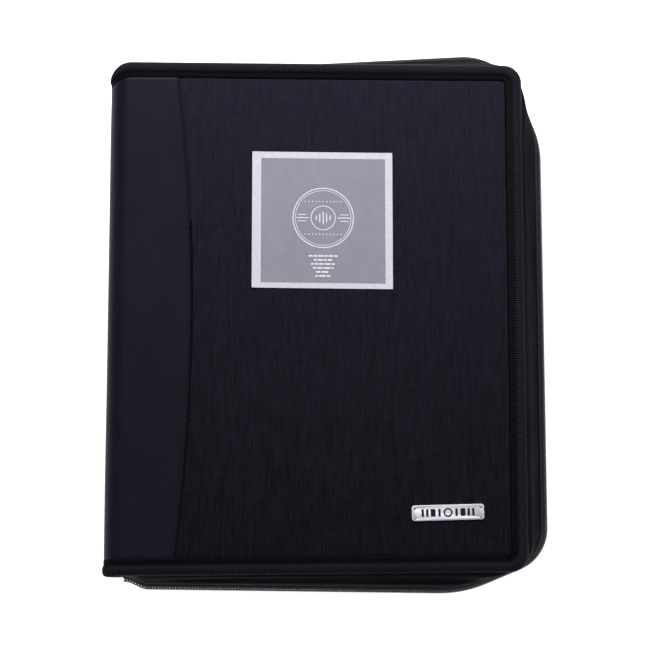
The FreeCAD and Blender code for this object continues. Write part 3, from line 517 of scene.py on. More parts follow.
    # taffeta lining: thin close weave with a slight shine
    m, tree, shader = newMaterial("liningTaffeta", "1d1d25", {
        "Roughness": 0.52, "IOR": 1.5, "Specular IOR Level": 0.3})
    where = addNode(tree, "ShaderNodeUVMap", uv_map="run").outputs[0]
    threads = weave(tree, where, (0.9, 0.9), 0.5)
    cloud = grain(tree, where, (40, 60, 1), 2.0)
    tones(tree, shader, mixed(tree, cloud, threads, 0.08), "191921", "25252f", 0.4, 0.8)
    relief(tree, shader, threads, 0.05)
    finishes["lining"] = m

    # soft grained leather for the pockets: small pebbles about 1.2 mm across, drawn twice life size
    m, tree, shader = newMaterial("grainedLeather", "1a1a20", {
        "Roughness": 0.5, "IOR": 1.5, "Specular IOR Level": 0.35})
    where = addNode(tree, "ShaderNodeTexCoord").outputs["Object"]
    pebbles = addNode(tree, "ShaderNodeTexVoronoi", {"Vector": where, "Scale": 1 / (1.2 * mm)},
                      feature="DISTANCE_TO_EDGE").outputs[0]
    cloud = grain(tree, where, (20, 20, 20), 2.0)
    tones(tree, shader, cloud, "151519", "212128", 0.35, 0.65)
    relief(tree, shader, pebbles, 0.10, 0.7)
    finishes["pocket"] = m

    # ribbed elastic: rubber cords under knitted thread, 1.4 mm apart
    m, tree, shader = newMaterial("ribbedElastic", "17171c", {"Roughness": 0.7, "IOR": 1.5,
                                                              "Specular IOR Level": 0.3})
    where = addNode(tree, "ShaderNodeUVMap", uv_map="run").outputs[0]
    cords = weave(tree, where, (0.8, 1.4), 0.3)
    tones(tree, shader, cords, "101014", "26262e", 0.3, 1.6)
    relief(tree, shader, cords, 0.14)
    finishes["elastic"] = m

    # pressed grey board, fibrous
    m, tree, shader = newMaterial("greyBoard", "8d8a84", {"Roughness": 0.9, "IOR": 1.5})
    where = addNode(tree, "ShaderNodeTexCoord").outputs["Object"]
    fibres = grain(tree, where, (2.5, 2.5, 0.3), 4.0, 0.7)
    tones(tree, shader, fibres, "7c7973", "a09d96", 0.3, 0.7)
    relief(tree, shader, fibres, 0.05)
    finishes["board"] = m

    # open-cell polyether foam, 0.8 mm cells
    m, tree, shader = newMaterial("polyFoam", "55545a", {"Roughness": 0.95, "IOR": 1.4})
    where = addNode(tree, "ShaderNodeTexCoord").outputs["Object"]
    pores = addNode(tree, "ShaderNodeTexVoronoi", {"Vector": where, "Scale": 1 / (0.8 * mm)}).outputs[0]
    tones(tree, shader, pores, "3f3e44", "6a696f", 0.1, 0.7)
    relief(tree, shader, pores, 0.2)
    finishes["foam"] = m

    # uncoated writing paper, ruled every 8 mm in pale blue
    m, tree, shader = newMaterial("ruledPaper", "f0efe9", {"Roughness": 0.85, "IOR": 1.5})
    where = addNode(tree, "ShaderNodeTexCoord").outputs["Object"]
    lines = weave(tree, where, (8.0,), 0.0, "Y")
    tones(tree, shader, lines, "9fb2c8", "f1f0ea", 0.004, 0.02)
    fibres = grain(tree, where, (0.7, 0.9, 1), 4.0, 0.7)
    relief(tree, shader, fibres, 0.03)
    finishes["paper"] = m

    # the pad's cut edge: leaves seen end on, drawn 0.5 mm apart
    m, tree, shader = newMaterial("paperEdges", "e6e4dc", {"Roughness": 0.9, "IOR": 1.5})
    where = addNode(tree, "ShaderNodeTexCoord").outputs["Object"]
    leaves = weave(tree, where, (0.5,), 0.8, "Z")
    tones(tree, shader, leaves, "c9c6bc", "eceae3", 0.1, 0.8)
    relief(tree, shader, leaves, 0.06)
    finishes["leaves"] = m

    # bright nickel plate over steel: mirror with faint wear
    m, tree, shader = newMaterial("brightNickel", "c6c2ba", {"Metallic": 1.0, "Roughness": 0.16})
    where = addNode(tree, "ShaderNodeTexCoord").outputs["Object"]
    wear = grain(tree, where, (6, 2, 6), 4.0, 0.6)
    tones(tree, shader, wear, "b3afa7", "d3cfc8", 0.3, 0.7)
    addNode(tree, "ShaderNodeMapRange", {"Value": wear, "To Min": 0.1, "To Max": 0.26},
            to=(shader, "Roughness", 0))
    relief(tree, shader, wear, 0.006)
    finishes["nickel"] = m

    # die-cast zinc under black lacquer: glossy, rubbed a little grey
    m, tree, shader = newMaterial("blackLacquer", "1a1a1e", {
        "Roughness": 0.28, "IOR": 1.5, "Coat Weight": 0.5, "Coat Roughness": 0.15})
    where = addNode(tree, "ShaderNodeTexCoord").outputs["Object"]
    rub = grain(tree, where, (1.5, 1.5, 1.5), 4.0, 0.65)
    tones(tree, shader, rub, "131317", "34343a", 0.42, 0.8)
    relief(tree, shader, rub, 0.02)
    finishes["lacquer"] = m

    # twisted polyester thread
    m, tree, shader = newMaterial("polyesterThread", "1e1e28", {
        "Roughness": 0.5, "IOR": 1.5, "Specular IOR Level": 0.2})
    where = addNode(tree, "ShaderNodeTexCoord").outputs["Object"]
    twist = weave(tree, where, (0.5, 0.5), 0.5)
    tones(tree, shader, twist, "17171f", "2d2d3a", 0.4, 1.6)
    relief(tree, shader, twist, 0.05)
    finishes["thread"] = m

    # pricked hole: a dark disc of painted shade, standing in for the shade inside each needle hole
    m, tree, shader = newMaterial("needleHoleShade", "070709", {"Roughness": 0.95, "IOR": 1.5,
                                                           "Specular IOR Level": 0.05})
    where = addNode(tree, "ShaderNodeTexCoord").outputs["Object"]
    tones(tree, shader, grain(tree, where, (0.5, 0.5, 0.5), 1.0), "050507", "0b0b0e", 0.3, 0.7)
    finishes["hole"] = m

    # plain white studio floor
    m, tree, shader = newMaterial("studioFloor", "f4f4f6", {"Roughness": 0.8, "IOR": 1.5,
                                                            "Specular IOR Level": 0.1})
    shader.inputs["Emission Color"].default_value = srgb("ffffff")
    shader.inputs["Emission Strength"].default_value = studio["floorGlow"]
    where = addNode(tree, "ShaderNodeTexCoord").outputs["Object"]
    tones(tree, shader, grain(tree, where, (220, 220, 220), 1.0), "f1f1f4", "f6f6f8", 0.3, 0.7)
    finishes["floor"] = m


studio = {
    "floorGlow": 0.85,
    "world": 0.15,
    # name: (watts, place, size in metres)
    "key": (13.5, (-0.05, 0.8, 0.7), 0.7),
    "left": (0.8, (-1.25, 0.1, 0.8), 0.8),
    "right": (5.0, (1.25, 0.0, 0.6), 0.8),
    "near": (0.6, (0.0, -1.4, 0.6), 0.8),
    "overhead": (11.0, (0.0, 0.25, 2.3), 2.2),
}
makeFinishes()
print("materials made:", len(finishes))


# ---- cloth panels ----

panel = {
    "step": 1.7,  # grid spacing
    "slub": 0.05,  # height of the thick threads
    "seamDip": 0.75,  # how far the cloth sinks where it passes under the leather
    "puff": 0.3,  # most that the stuffing may lift the cloth
    "thick": 0.75,
    "simStep": 5.0,
}


def pulled(t):
    # shares packed closer at both ends
    return t - 0.62 / math.tau * math.sin(math.tau * t)


def panelPoint(u, v, lift):
    half = case["panelHalf"] + 2.5
    y = -half + 2 * half * pulled(v)
    left = seamAt(y) - 2.5
    right = case["panelFore"] + 2.5
    x = left + (right - left) * pulled(u)
    gap = x - seamAt(y)
    z = case["top"] - panel["puff"] - 0.09 - edgeSink(x, y)
    z -= panel["seamDip"] * math.exp(-max(0.0, gap) / 1.3)
    z -= 0.2 * smooth(-gap / 1.5)
    z += lift(u, v)
    slub = noise.noise((x / 1.7, y / 14, 3.1)) + 0.5 * noise.noise((x / 9, y / 2.1, 8.7))
    return Vector((x, y, z + panel["slub"] * slub))


def puffed():
    # pressure cloth on a coarse copy of the panel; returns its rise as a function of u and v
    across = round((case["panelFore"] - case["seamMiddle"]) / panel["simStep"])
    along = round(2 * case["panelHalf"] / panel["simStep"])

    bm = surface(across, along, lambda u, v: panelPoint(u, v, lambda a, b: 0.0))
    bm.verts.ensure_lookup_table()
    rim = [vert.index for vert in bm.verts if vert.is_boundary]
    shares = {}
    flat = bmesh.new()
    bmesh.ops.create_grid(flat, x_segments=across, y_segments=along, size=0.5)
    for vert in flat.verts:
        shares[vert.index] = (round((vert.co.x + 0.5) * across), round((vert.co.y + 0.5) * along))
    flat.free()
    sheet = finishPiece(bm, "panelForSimulation", finishes["woven"])
    pinned = sheet.vertex_groups.new(name="rim")
    pinned.add(rim, 1.0, "REPLACE")
    before = [vert.co.z for vert in sheet.data.vertices]
    cloth = sheet.modifiers.new("stuffing", "CLOTH")
    cloth.settings.vertex_group_mass = "rim"
    cloth.settings.use_pressure = True
    cloth.settings.uniform_pressure_force = 4.0
    cloth.settings.effector_weights.gravity = 0.0
    cloth.settings.quality = 5
    cloth.point_cache.frame_end = 20
    scene = bpy.context.scene
    for number in range(1, 21):
        scene.frame_set(number)
    shaped = sheet.evaluated_get(bpy.context.evaluated_depsgraph_get())
    rise = {shares[i]: (vert.co.z - before[i]) / mm for i, vert in enumerate(shaped.data.vertices)}
    scene.frame_set(1)
    bpy.data.objects.remove(sheet)
    most = max(max(rise.values()), 1e-6)
    scale = min(1.0, panel["puff"] / most)
    print("cloth panel simulated, rise before the cap", round(most, 2), "mm")

    def lift(u, v):
        a, b = u * across, v * along
        i, j = min(int(a), across - 1), min(int(b), along - 1)
        a, b = a - i, b - j
        near = rise[(i, j)] * (1 - a) + rise[(i + 1, j)] * a
        far = rise[(i, j + 1)] * (1 - a) + rise[(i + 1, j + 1)] * a
        return scale * max(0.0, near * (1 - b) + far * b)

    return lift


def clothPanels():
    lift = puffed()
    wide = case["panelFore"] - case["seamMiddle"]
    tall = 2 * case["panelHalf"]
    for side in ("front", "back"):
        bm = surface(round(wide / panel["step"]), round(tall / panel["step"]),
                     lambda u, v: panelPoint(u, v, lift), (wide, tall), thick=panel["thick"])
        flared(bm)
        if side == "back":
            toBack(bm)
        piece = finishPiece(bm, side + "Cloth", finishes["woven"], side + "_cover",
                            [side + "_cover_cloth"])


def foamSheets():
    # thin foam under both skins, feathered where the binding presses it
    left, right = case["crease"] + 0.1, case["fore"] - 2.6
    half = case["half"] - 2.6
    low = edgeOf("front_foam", "z", False) + 0.02

    def place(u, v):
        x, y = left + (right - left) * u, half * (2 * v - 1)
        dip = 0.6 * math.exp(-((x - seamAt(y)) / 3.0) ** 2)
        top = case["top"] - edgeSink(x, y) - dip - panel["thick"] - panel["puff"] - 0.22
        return Vector((*cornered(x, y, right, half), max(low + 0.06, top)))

    for side in ("front", "back"):
        bm = surface(90, 110, place)
        floor = bmesh.ops.extrude_face_region(bm, geom=bm.faces[:])["geom"]
        for vert in floor:
            if isinstance(vert, bmesh.types.BMVert):
                vert.co.z = low
        bmesh.ops.recalc_face_normals(bm, faces=bm.faces)
        flared(bm)
        if side == "back":
            toBack(bm)
        piece = finishPiece(bm, side + "Foam", finishes["foam"], side + "_cover",
                            [side + "_foam"])


clothPanels()
foamSheets()
print("cloth panels and foam made")


# ---- leather over the spine ----

leather = {
    "thick": 0.8,
    # height over the skin at distances in from the folded edge: fold, stitch groove, then flat
    "fold": [(0, -0.95), (0.08, -0.4), (0.35, -0.06), (0.6, 0.04), (0.85, 0.02), (1.1, -0.1),
             (1.5, -0.3), (1.95, -0.12), (2.5, 0.04), (3.5, 0.1), (5.5, 0.06), (8.0, 0.0)],
    "edgeSteps": [0, 0.08, 0.35, 0.6, 0.85, 1.1, 1.4, 1.7, 1.95, 2.2, 2.5, 2.8, 3.1, 3.5, 4.0, 4.8,
                  5.5, 6.5, 8.0],
    "flatSteps": 10, "rollSteps": 16, "sideSteps": 4,
}


def spinePath(columns, y, height):
    # across the cover, round the roll and down to the middle of the spine
    kind, value = columns
    edge = seamAt(y)
    start = edge - leather["edgeSteps"][-1]
    if kind == "edge":
        return Vector((edge - value, y, case["top"] + height))
    if kind == "flat":
        return Vector((start + (case["crease"] - start) * value, y, case["top"] + height))
    if kind == "roll":
        angle = value * math.pi / 2
        radius = rollRadius + height
        return Vector((case["crease"] - radius * math.sin(angle), y,
                       case["rollLow"] + radius * math.cos(angle)))
    return Vector((case["back"] - height, y,
                   case["rollLow"] + (midHeight - case["rollLow"]) * value))


def spineColumns():
    columns = [("edge", s) for s in leather["edgeSteps"]]
    columns += [("flat", (i + 1) / leather["flatSteps"]) for i in range(leather["flatSteps"])]
    columns += [("roll", (i + 1) / leather["rollSteps"]) for i in range(leather["rollSteps"])]
    columns += [("side", (i + 1) / leather["sideSteps"]) for i in range(leather["sideSteps"])]
    return columns


def leatherPanels():
    columns = spineColumns()
    half = case["half"] - 3.0

    def place(u, v):
        column = columns[round(u * (len(columns) - 1))]
        y = -half + 2 * half * pulled(v)
        height = -edgeSink(0, y)
        if column[0] == "edge":
            height += between(leather["fold"], column[1])
        soft = noise.noise((y / 46, column[1] * (2 if column[0] != "edge" else 0.1), 5.5))
        return spinePath(column, y, height + 0.12 * soft)

    for side in ("front", "back"):
        bm = flared(surface(len(columns) - 1, 170, place, (70, 2 * half), thick=leather["thick"]))
        if side == "back":
            toBack(bm)
        stands = [side + "_leather_panel", side + "_hinge_leather"]
        stands += ["spine_leather"] if side == "front" else []
        piece = finishPiece(bm, side + "Leather", finishes["leather"], None, stands)
        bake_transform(piece)


def stitchRow(bm, points, thread, sunk=0.25, hole=True):
    # one bead per stitch between points (place, ahead, up), and a dark disc of painted shade at each
    # end, where the needle hole is
    long, wide = thread
    for place, ahead, up in points:
        across = ahead.cross(up).normalized()
        turn = Matrix((across, ahead, up)).transposed().to_4x4()
        spot = Matrix.Translation(place - up * wide * sunk) @ turn
        bmesh.ops.create_uvsphere(bm, u_segments=6, v_segments=4, radius=1.0,
                                  matrix=spot @ Matrix.Diagonal((wide / 2, long / 2, wide / 2.4, 1)))
        if hole:
            tip = Matrix.Translation(place - up * 0.08 + ahead * (long / 2 + 0.35)) @ turn
            shadeDisc = bmesh.ops.create_uvsphere(bm, u_segments=8, v_segments=4, radius=1.0,
                                            matrix=tip @ Matrix.Diagonal((0.46, 0.72, 0.2, 1)))
            for vert in shadeDisc["verts"]:
                for face in vert.link_faces:
                    face.material_index = 1
    return bm


def seamStitches():
    bm = bmesh.new()
    points = []
    count = int(2 * (case["panelHalf"] - 1) / seam["stitchPitch"])
    for number in range(count):
        y = (number - (count - 1) / 2) * seam["stitchPitch"]
        x = seamAt(y) - seam["stitchIn"]
        ahead = Vector((seamAt(y + 1) - seamAt(y), 1, 0)).normalized()
        points.append((Vector((x, y, case["top"] - 0.26 - edgeSink(0, y))), ahead, Vector((0, 0, 1))))
    stitchRow(bm, points, (seam["stitchLong"], 0.55))
    other = toBack(flared(bm).copy())
    for side, mesh in (("front", bm), ("back", other)):
        finishPiece(mesh, side + "SeamStitches", [finishes["thread"], finishes["hole"]],
                    side + "_cover")


leatherPanels()
seamStitches()
print("leather made")


# ---- ribbed binding ----

binding = {
    "rib": 1.5,
    "samples": 4,
    # (inset, height over the skin, how strongly the ribs show): a flat flange, then the roll
    "profile": [(10.9, -0.62, 0.2), (11.05, -0.42, 0.5), (10.8, -0.24, 0.8), (9.8, -0.14, 0.8),
                (8.6, -0.16, 0.8), (7.6, -0.20, 0.8), (6.8, -0.04, 0.9), (6.0, 0.34, 1.0),
                (5.0, 0.60, 1.0), (3.8, 0.70, 1.0), (2.6, 0.56, 1.0), (1.4, 0.10, 1.0),
                (0.55, -0.65, 1.0), (0.12, -1.5, 1.0), (0.0, -2.6, 1.0), (0.05, -3.8, 1.0),
                (0.35, -4.8, 0.9), (0.9, -5.3, 0.5), (1.7, -5.38, 0.2), (2.0, -5.2, 0.0),
                (2.0, -3.2, 0.0), (2.3, -1.2, 0.0), (4.5, -0.62, 0.0), (8.0, -0.60, 0.0),
                (10.9, -0.62, 0.2)],
    "ribHigh": 0.24,
}


def ribAt(distance, strength):
    return binding["ribHigh"] * strength * math.cos(math.tau * distance / binding["rib"])


def profileOut(index):
    # outward direction of the profile at one of its points, as (inset, height)
    shape = binding["profile"]
    before = shape[max(0, index - 1)]
    after = shape[min(len(shape) - 1, index + 1)]
    way = Vector((after[0] - before[0], after[1] - before[1]))
    return Vector((-way.y, way.x)).normalized() * -1


def coverBindings():
    reference = stageLengths(coverRun(3.0))
    total = sum(reference)
    count = round(total / binding["rib"]) * binding["samples"]
    shape = binding["profile"]
    runs = {}

    def place(u, v):
        index = round(v * (len(shape) - 1))
        inset, height, strength = shape[index]
        distance = u * total
        out = profileOut(index)
        ridge = ribAt(distance, strength)
        inset, height = inset + out.x * ridge, height + out.y * ridge
        key = round(inset, 3)
        if key not in runs:
            runs[key] = coverRun(inset)
        point, away = onRun(runs[key], reference, distance)
        return Vector((point.x, point.y, case["top"] + height))

    for side in ("front", "back"):
        bm = flared(surface(count, len(shape) - 1, place, (total, 30), join=True))
        if side == "back":
            toBack(bm)
        finishPiece(bm, side + "Binding", finishes["grosgrain"], side + "_cover",
                    [side + "_binding"], sharp=180)


def spineBindings():
    # the binding goes on round the ends of the spine roll
    shape = binding["profile"]
    arc = (rollRadius * math.pi / 2) + case["rollLow"] - midHeight
    ribs = round(arc / binding["rib"])
    rollShare = rollRadius * math.pi / 2 / arc

    def place(u, v):
        index = round(v * (len(shape) - 1))
        inset, height, strength = shape[index]
        out = profileOut(index)
        ridge = binding["ribHigh"] * strength * math.cos(math.tau * u * ribs)
        inset, height = inset + out.x * ridge, height + out.y * ridge
        y = case["half"] - inset
        if u <= rollShare:
            angle = u / rollShare * math.pi / 2
            radius = rollRadius + height
            return Vector((case["crease"] - radius * math.sin(angle), y,
                           case["rollLow"] + radius * math.cos(angle)))
        drop = (u - rollShare) / (1 - rollShare) * (case["rollLow"] - midHeight)
        return Vector((case["back"] - height, y, case["rollLow"] - drop))

    for side in ("front", "back"):
        bm = surface(ribs * binding["samples"], len(shape) - 1, place, (arc, 30), join=True)
        flared(reflect(bm, 1, 0.0, keep=True))
        if side == "back":
            toBack(bm)
        stands = [side + "_hinge_binding"] + (["spine_binding"] if side == "front" else [])
        piece = finishPiece(bm, side + "SpineBinding", finishes["grosgrain"], None,
                            stands, sharp=180)
        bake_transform(piece)


coverBindings()
spineBindings()
print("bindings made")


# ---- gusset and main zip ----

gusset = {
    "thick": 0.8,
    "rows": 16,
    "tuck": 1.0,  # lip that stands up inside the binding
    "inner": 1.0, "outer": 2.3,  # its edges, in from the cover's outline and from the zip's line
    "fold": 0.75,  # depth of the soft lengthwise folds
    "step": 2.6,
    "cut": 13.7,  # width of the flat strip
}


def gussetPanels():
    reference = stageLengths(zipRun(1.0))
    total = sum(reference)
    high, low = case["bindingLow"], case["tapeTop"]
    runs = {}

    def place(u, v):
        share = v * (1 + 1 / gusset["rows"]) - 1 / gusset["rows"]
        distance = u * total
        spread = max(0.0, share)
        key = round(spread, 4)
        if key not in runs:
            runs[key] = zipRun(spread, gusset["inner"] + (gusset["outer"] - gusset["inner"]) * spread)
        point, out = onRun(runs[key], reference, distance)
        point.y *= 1 + (flareAt(point.x) - 1) * (1 - spread)
        point += (tucked(point, out, total - distance) - point) * spread
        height = low + (high - low) * (0.4 * (1 - spread) + 0.6 * math.sqrt(max(0.0, 1 - spread ** 2)))
        body = math.sin(math.pi * spread) if spread else 0.0
        grow = smooth(distance / 60) * smooth((total - distance) / 60)
        drift = noise.noise((distance / 90, 1.3, 0.2))
        wave = math.sin(math.pi * (2.6 * spread + 0.5 * drift)) + 0.45 * noise.noise(
            (distance / 38, spread * 3, 4.4))
        fold = gusset["fold"] * body * wave * grow
        if share < 0:
            height = high + gusset["tuck"]
        return Vector((point.x, point.y, height)) + out * fold * 0.6 + Vector((0, 0, fold * 0.8))

    count = round(total / gusset["step"])
    for side in ("front", "back"):
        bm = surface(count, gusset["rows"] + 1, place, (total, 17), thick=gusset["thick"])
        if side == "back":
            reflect(bm, 2, midHeight)
        piece = finishPiece(bm, side + "Gusset", finishes["gusset"], side + "_cover",
                            [side + "_gusset"], sharp=60)


tape = {"rows": 8, "thick": 0.75, "hem": 4.2, "cut": 11.9}


def zipTapes():
    reference = stageLengths(zipRun(1.0))
    total = sum(reference)
    low = edgeOf("front_zip_tape", "z", False) - 0.7
    high = case["tapeTop"] + tape["hem"]
    runs = {}

    def place(u, v):
        height = low + (high - low) * v
        inset = 1.0 + 3.6 * smooth((height - case["tapeTop"] + 0.6) / (tape["hem"] + 0.6))
        key = round(inset, 3)
        if key not in runs:
            runs[key] = zipRun(1.0, inset)
        point, out = onRun(runs[key], reference, u * total)
        point = tucked(point, out, (1 - u) * total)
        wave = 0.12 * noise.noise((u * total / 24, v * 2, 7.7))
        return Vector((point.x, point.y, height)) + out * wave

    for side in ("front", "back"):
        bm = surface(round(total / 3), tape["rows"], place, (total, 10), thick=tape["thick"])
        if side == "back":
            reflect(bm, 2, midHeight)
        piece = finishPiece(bm, side + "ZipTape", finishes["tape"], side + "_cover",
                            [side + "_zip_tape"], sharp=60)


def coilTube(path, length, shape, phase):
    # a monofilament helix along a path that gives (point, across, up) at a distance
    turns = round(length / shape["pitch"])

    def place(u, v):
        centre, across, up = path(u * length)
        angle = math.tau * u * turns + phase
        ray = across * math.cos(angle) * shape["halfWide"] + up * math.sin(angle) * shape["halfTall"]
        away = ray.normalized()
        ahead = across.cross(up)
        spin = math.tau * v
        return centre + ray + shape["wire"] * (math.cos(spin) * away + math.sin(spin) * ahead)

    return surface(turns * shape["perTurn"], shape["sides"], place, (turns * coil["pitch"], 1),
                   join=True)


def mainCoils():
    run = zipRun(1.0, 0.25)
    lengths = stageLengths(run)
    total = sum(lengths)
    centre = (edgeOf("front_zip_coil", "z", False) + edgeOf("front_zip_coil", "z", True)) / 2 - 0.42

    def path(distance):
        point, out = onRun(run, lengths, distance)
        point = tucked(point, out, total - distance)
        return Vector((point.x, point.y, centre)), out, Vector((0, 0, 1))

    bm = coilTube(path, total, coil, 0.0)
    finishPiece(bm, "frontZipCoil", finishes["coil"], "front_cover",
                ["front_zip_coil"], sharp=180)
    bm = coilTube(path, total, coil, math.pi * 0.9)
    reflect(bm, 2, midHeight)
    finishPiece(bm, "backZipCoil", finishes["coil"], "back_cover",
                ["back_zip_coil"], sharp=180)


gussetPanels()
zipTapes()
mainCoils()
print("gusset and zip made")


# ---- metal pieces whose CAD shape is right: edges eased ----

def easedNode(node, name, material, width, body):
    bm = bmesh.new()
    bm.from_mesh(nodes[node].data)
    bmesh.ops.scale(bm, vec=(1 / mm,) * 3, verts=bm.verts)
    bmesh.ops.remove_doubles(bm, verts=bm.verts, dist=0.002)
    bmesh.ops.dissolve_limit(bm, angle_limit=math.radians(1.5), verts=bm.verts[:], edges=bm.edges[:])
    sharp = [e for e in bm.edges if len(e.link_faces) == 2 and e.calc_face_angle(0) > 0.6]
    bmesh.ops.bevel(bm, geom=sharp, offset=width, offset_type="OFFSET", affect="EDGES", segments=2,
                    profile=0.5, material=-1, clamp_overlap=True)
    bmesh.ops.recalc_face_normals(bm, faces=bm.faces)
    if name.endswith("Stops"):
        for vert in bm.verts:
            vert.co.y += outline["tailTuck"] if vert.co.y < 0 else 0
    return finishPiece(bm, name, material, body, [node])


easedPieces = {  # node: (piece, finish, slot, edge radius, body)
    "main_zip_slider": ("mainSlider", "lacquer", "zip_metal", 0.18, "main_zip_slider"),
    "main_zip_pull": ("mainPull", "lacquer", "zip_metal", 0.18, "main_zip_pull"),
    "pocket_zip_slider": ("pocketSlider", "lacquer", "zip_metal", 0.18, "pocket_zip_slider"),
    "pocket_zip_pull": ("pocketPull", "lacquer", "zip_metal", 0.18, "pocket_zip_pull"),
    "front_zip_stops": ("frontStops", "lacquer", "zip_metal", 0.12, "front_cover"),
    "back_zip_stops": ("backStops", "lacquer", "zip_metal", 0.12, "back_cover"),
    "ring_lever_head": ("headLever", "nickel", "nickel", 0.35, "ring_lever_head"),
    "ring_lever_tail": ("tailLever", "nickel", "nickel", 0.35, "ring_lever_tail"),
    "nameplate": ("plate", "aluminium", "satin_metal", 0.22, "front_cover"),
}
for node, (name, finish, slot, width, body) in easedPieces.items():
    easedNode(node, name, finishes[finish], width, body)
print("metal pieces made")


# ---- label and nameplate ----

label = {
    "wide": 94.4, "tall": 93.2, "thick": 0.28, "curl": 0.35,
    "lean": 0.0122,  # it was stuck on a little out of square: rows drop this much per unit across
    "left": 6.0, "right": 4.9, "head": 4.4, "tail": 3.7,  # card left round the grey
}
labelCentre = (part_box("paper_label")[0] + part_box("paper_label")[1]) / 2 / mm
labelLow = edgeOf("paper_label", "z", False)


def bar(bm, x, y, wide, tall, low, high):
    place = Matrix.Translation((x, y, (low + high) / 2)) @ Matrix.Diagonal((wide, tall, high - low, 1))
    bmesh.ops.create_cube(bm, size=1.0, matrix=place)


def lathe(bm, profile, centre, steps, closed):
    # (radius, height) pairs spun about an upright axis
    verts = [bm.verts.new(centre + Vector((r, 0, h))) for r, h in profile]
    edges = [bm.edges.new(pair) for pair in zip(verts, verts[1:])]
    if closed:
        edges.append(bm.edges.new((verts[-1], verts[0])))
    bmesh.ops.spin(bm, geom=verts + edges, cent=centre, axis=(0, 0, 1), angle=math.tau,
                   steps=steps, use_merge=True)
    bmesh.ops.remove_doubles(bm, verts=bm.verts, dist=0.0008)


def leant(bm):
    shear = Matrix.Identity(4)
    shear[1][0] = -label["lean"]
    bmesh.ops.transform(bm, matrix=shear, verts=bm.verts, space=Matrix.Translation(-labelCentre))
    return bm


def swivel(bm, centre, degrees):
    bmesh.ops.rotate(bm, cent=centre, matrix=Matrix.Rotation(math.radians(degrees), 3, "Z"),
                     verts=bm.verts)


def labelHeight(x, y):
    # the card's corners stand up a little
    reach = (abs(x) / (label["wide"] / 2)) ** 6 * (abs(y) / (label["tall"] / 2)) ** 6
    return labelLow + label["thick"] + 0.06 + label["curl"] * reach


def makeLabel():
    def sheet(left, right, tail, head, lift, thick, steps):
        x0, x1 = -label["wide"] / 2 + left, label["wide"] / 2 - right
        y0, y1 = -label["tall"] / 2 + tail, label["tall"] / 2 - head

        def place(u, v):
            x, y = x0 + (x1 - x0) * u, y0 + (y1 - y0) * v
            return Vector((labelCentre.x + x, labelCentre.y + y, labelHeight(x, y) + lift))

        return leant(surface(steps, steps, place, thick=thick))

    card = sheet(0, 0, 0, 0, 0.0, label["thick"], 40)
    finishPiece(card, "labelCard", finishes["card"], "front_cover", ["paper_label"])
    grey = sheet(label["left"], label["right"], label["tail"], label["head"], 0.04, 0.06, 24)
    finishPiece(grey, "labelField", finishes["greyInk"], "front_cover")


motif = {  # a plain roundel, in millimetres from the label's centre
    "across": 0.6, "up": 1.4,
    "rings": [(20.6, 0.62), (18.9, 0.34), (8.4, 0.5)],
    "dots": 11, "dotPitch": 2.4, "dotSize": 0.42,
    "bars": [(-22.2, 0, 9.4), (22.2, 0, 9.4)],
    "lines": [19.5, 12.5, 16.5, 14.0, 9.5, 10.5], "linePitch": 2.72, "lineTop": -26.0,
}


def makeMotif():
    bm = bmesh.new()
    low, high = labelLow + label["thick"] + 0.08, labelLow + label["thick"] + 0.16
    x, y = labelCentre.x + motif["across"], labelCentre.y + motif["up"]
    for radius, wide in motif["rings"]:
        lathe(bm, [(radius - wide, low), (radius, low), (radius, high), (radius - wide, high)],
              Vector((x, y, 0)), 72, True)
    for number in range(motif["dots"]):
        step = (number - (motif["dots"] - 1) / 2) * motif["dotPitch"]
        for rise in (-11.2, 11.2):
            lathe(bm, [(0, low), (motif["dotSize"], low), (motif["dotSize"], high), (0, high)],
                  Vector((x + step, y + rise, 0)), 10, False)
    for across, up, wide in motif["bars"]:
        bar(bm, x + across - math.copysign(8, across), y + up, wide, 0.6, low, high)
        bar(bm, x + across - math.copysign(8, across), y + up + 2.2, wide * 0.6, 0.5, low, high)
        bar(bm, x + across - math.copysign(8, across), y + up - 2.2, wide * 0.6, 0.5, low, high)
    for number in range(5):
        tall = 2.0 + 1.5 * (2 - abs(number - 2))
        bar(bm, x + (number - 2) * 2.3, y, 0.7, tall * 1.7, low, high)
    chance = random.Random(7)
    for number, wide in enumerate(motif["lines"]):
        rise = y + motif["lineTop"] - number * motif["linePitch"]
        start = -wide / 2
        while start < wide / 2 - 0.8:
            word = min(chance.uniform(1.8, 4.6), wide / 2 - start)
            bar(bm, x + start + word / 2, rise, word, 1.05, low, high)
            start += word + 0.7
    bmesh.ops.recalc_face_normals(bm, faces=bm.faces)
    finishPiece(leant(bm), "labelMotif", finishes["whiteInk"], "front_cover")


plateMark = {  # plain bars round a ring: (across, wide)
    "turn": 1.5, "tall": 5.0, "ring": (3.0, 1.9),
    "bars": [(-16.6, 1.5), (-13.6, 1.5), (-9.8, 3.2), (-5.6, 1.5), (5.6, 1.5), (9.8, 3.2),
             (13.6, 1.5), (16.6, 1.5)],
}


def makePlateMark():
    # plain bars round a ring stand where a name would be
    low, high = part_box("nameplate")
    centre = (low + high) / 2 / mm
    top = high.z / mm
    bm = bmesh.new()
    for across, wide in plateMark["bars"]:
        bar(bm, centre.x + across, centre.y, wide, plateMark["tall"], top - 0.05, top + 0.03)
    outer, inner = plateMark["ring"]
    lathe(bm, [(inner, top - 0.05), (outer, top - 0.05), (outer, top + 0.03), (inner, top + 0.03)],
          Vector((centre.x, centre.y, 0)), 28, True)
    bmesh.ops.recalc_face_normals(bm, faces=bm.faces)
    swivel(bm, centre, plateMark["turn"])
    finishPiece(bm, "plateMark", finishes["enamel"], "front_cover")


makeLabel()
makeMotif()
makePlateMark()
print("label and nameplate made")


# ---- lining and boards ----

lining = {"thick": 0.7, "hem": 6.0}


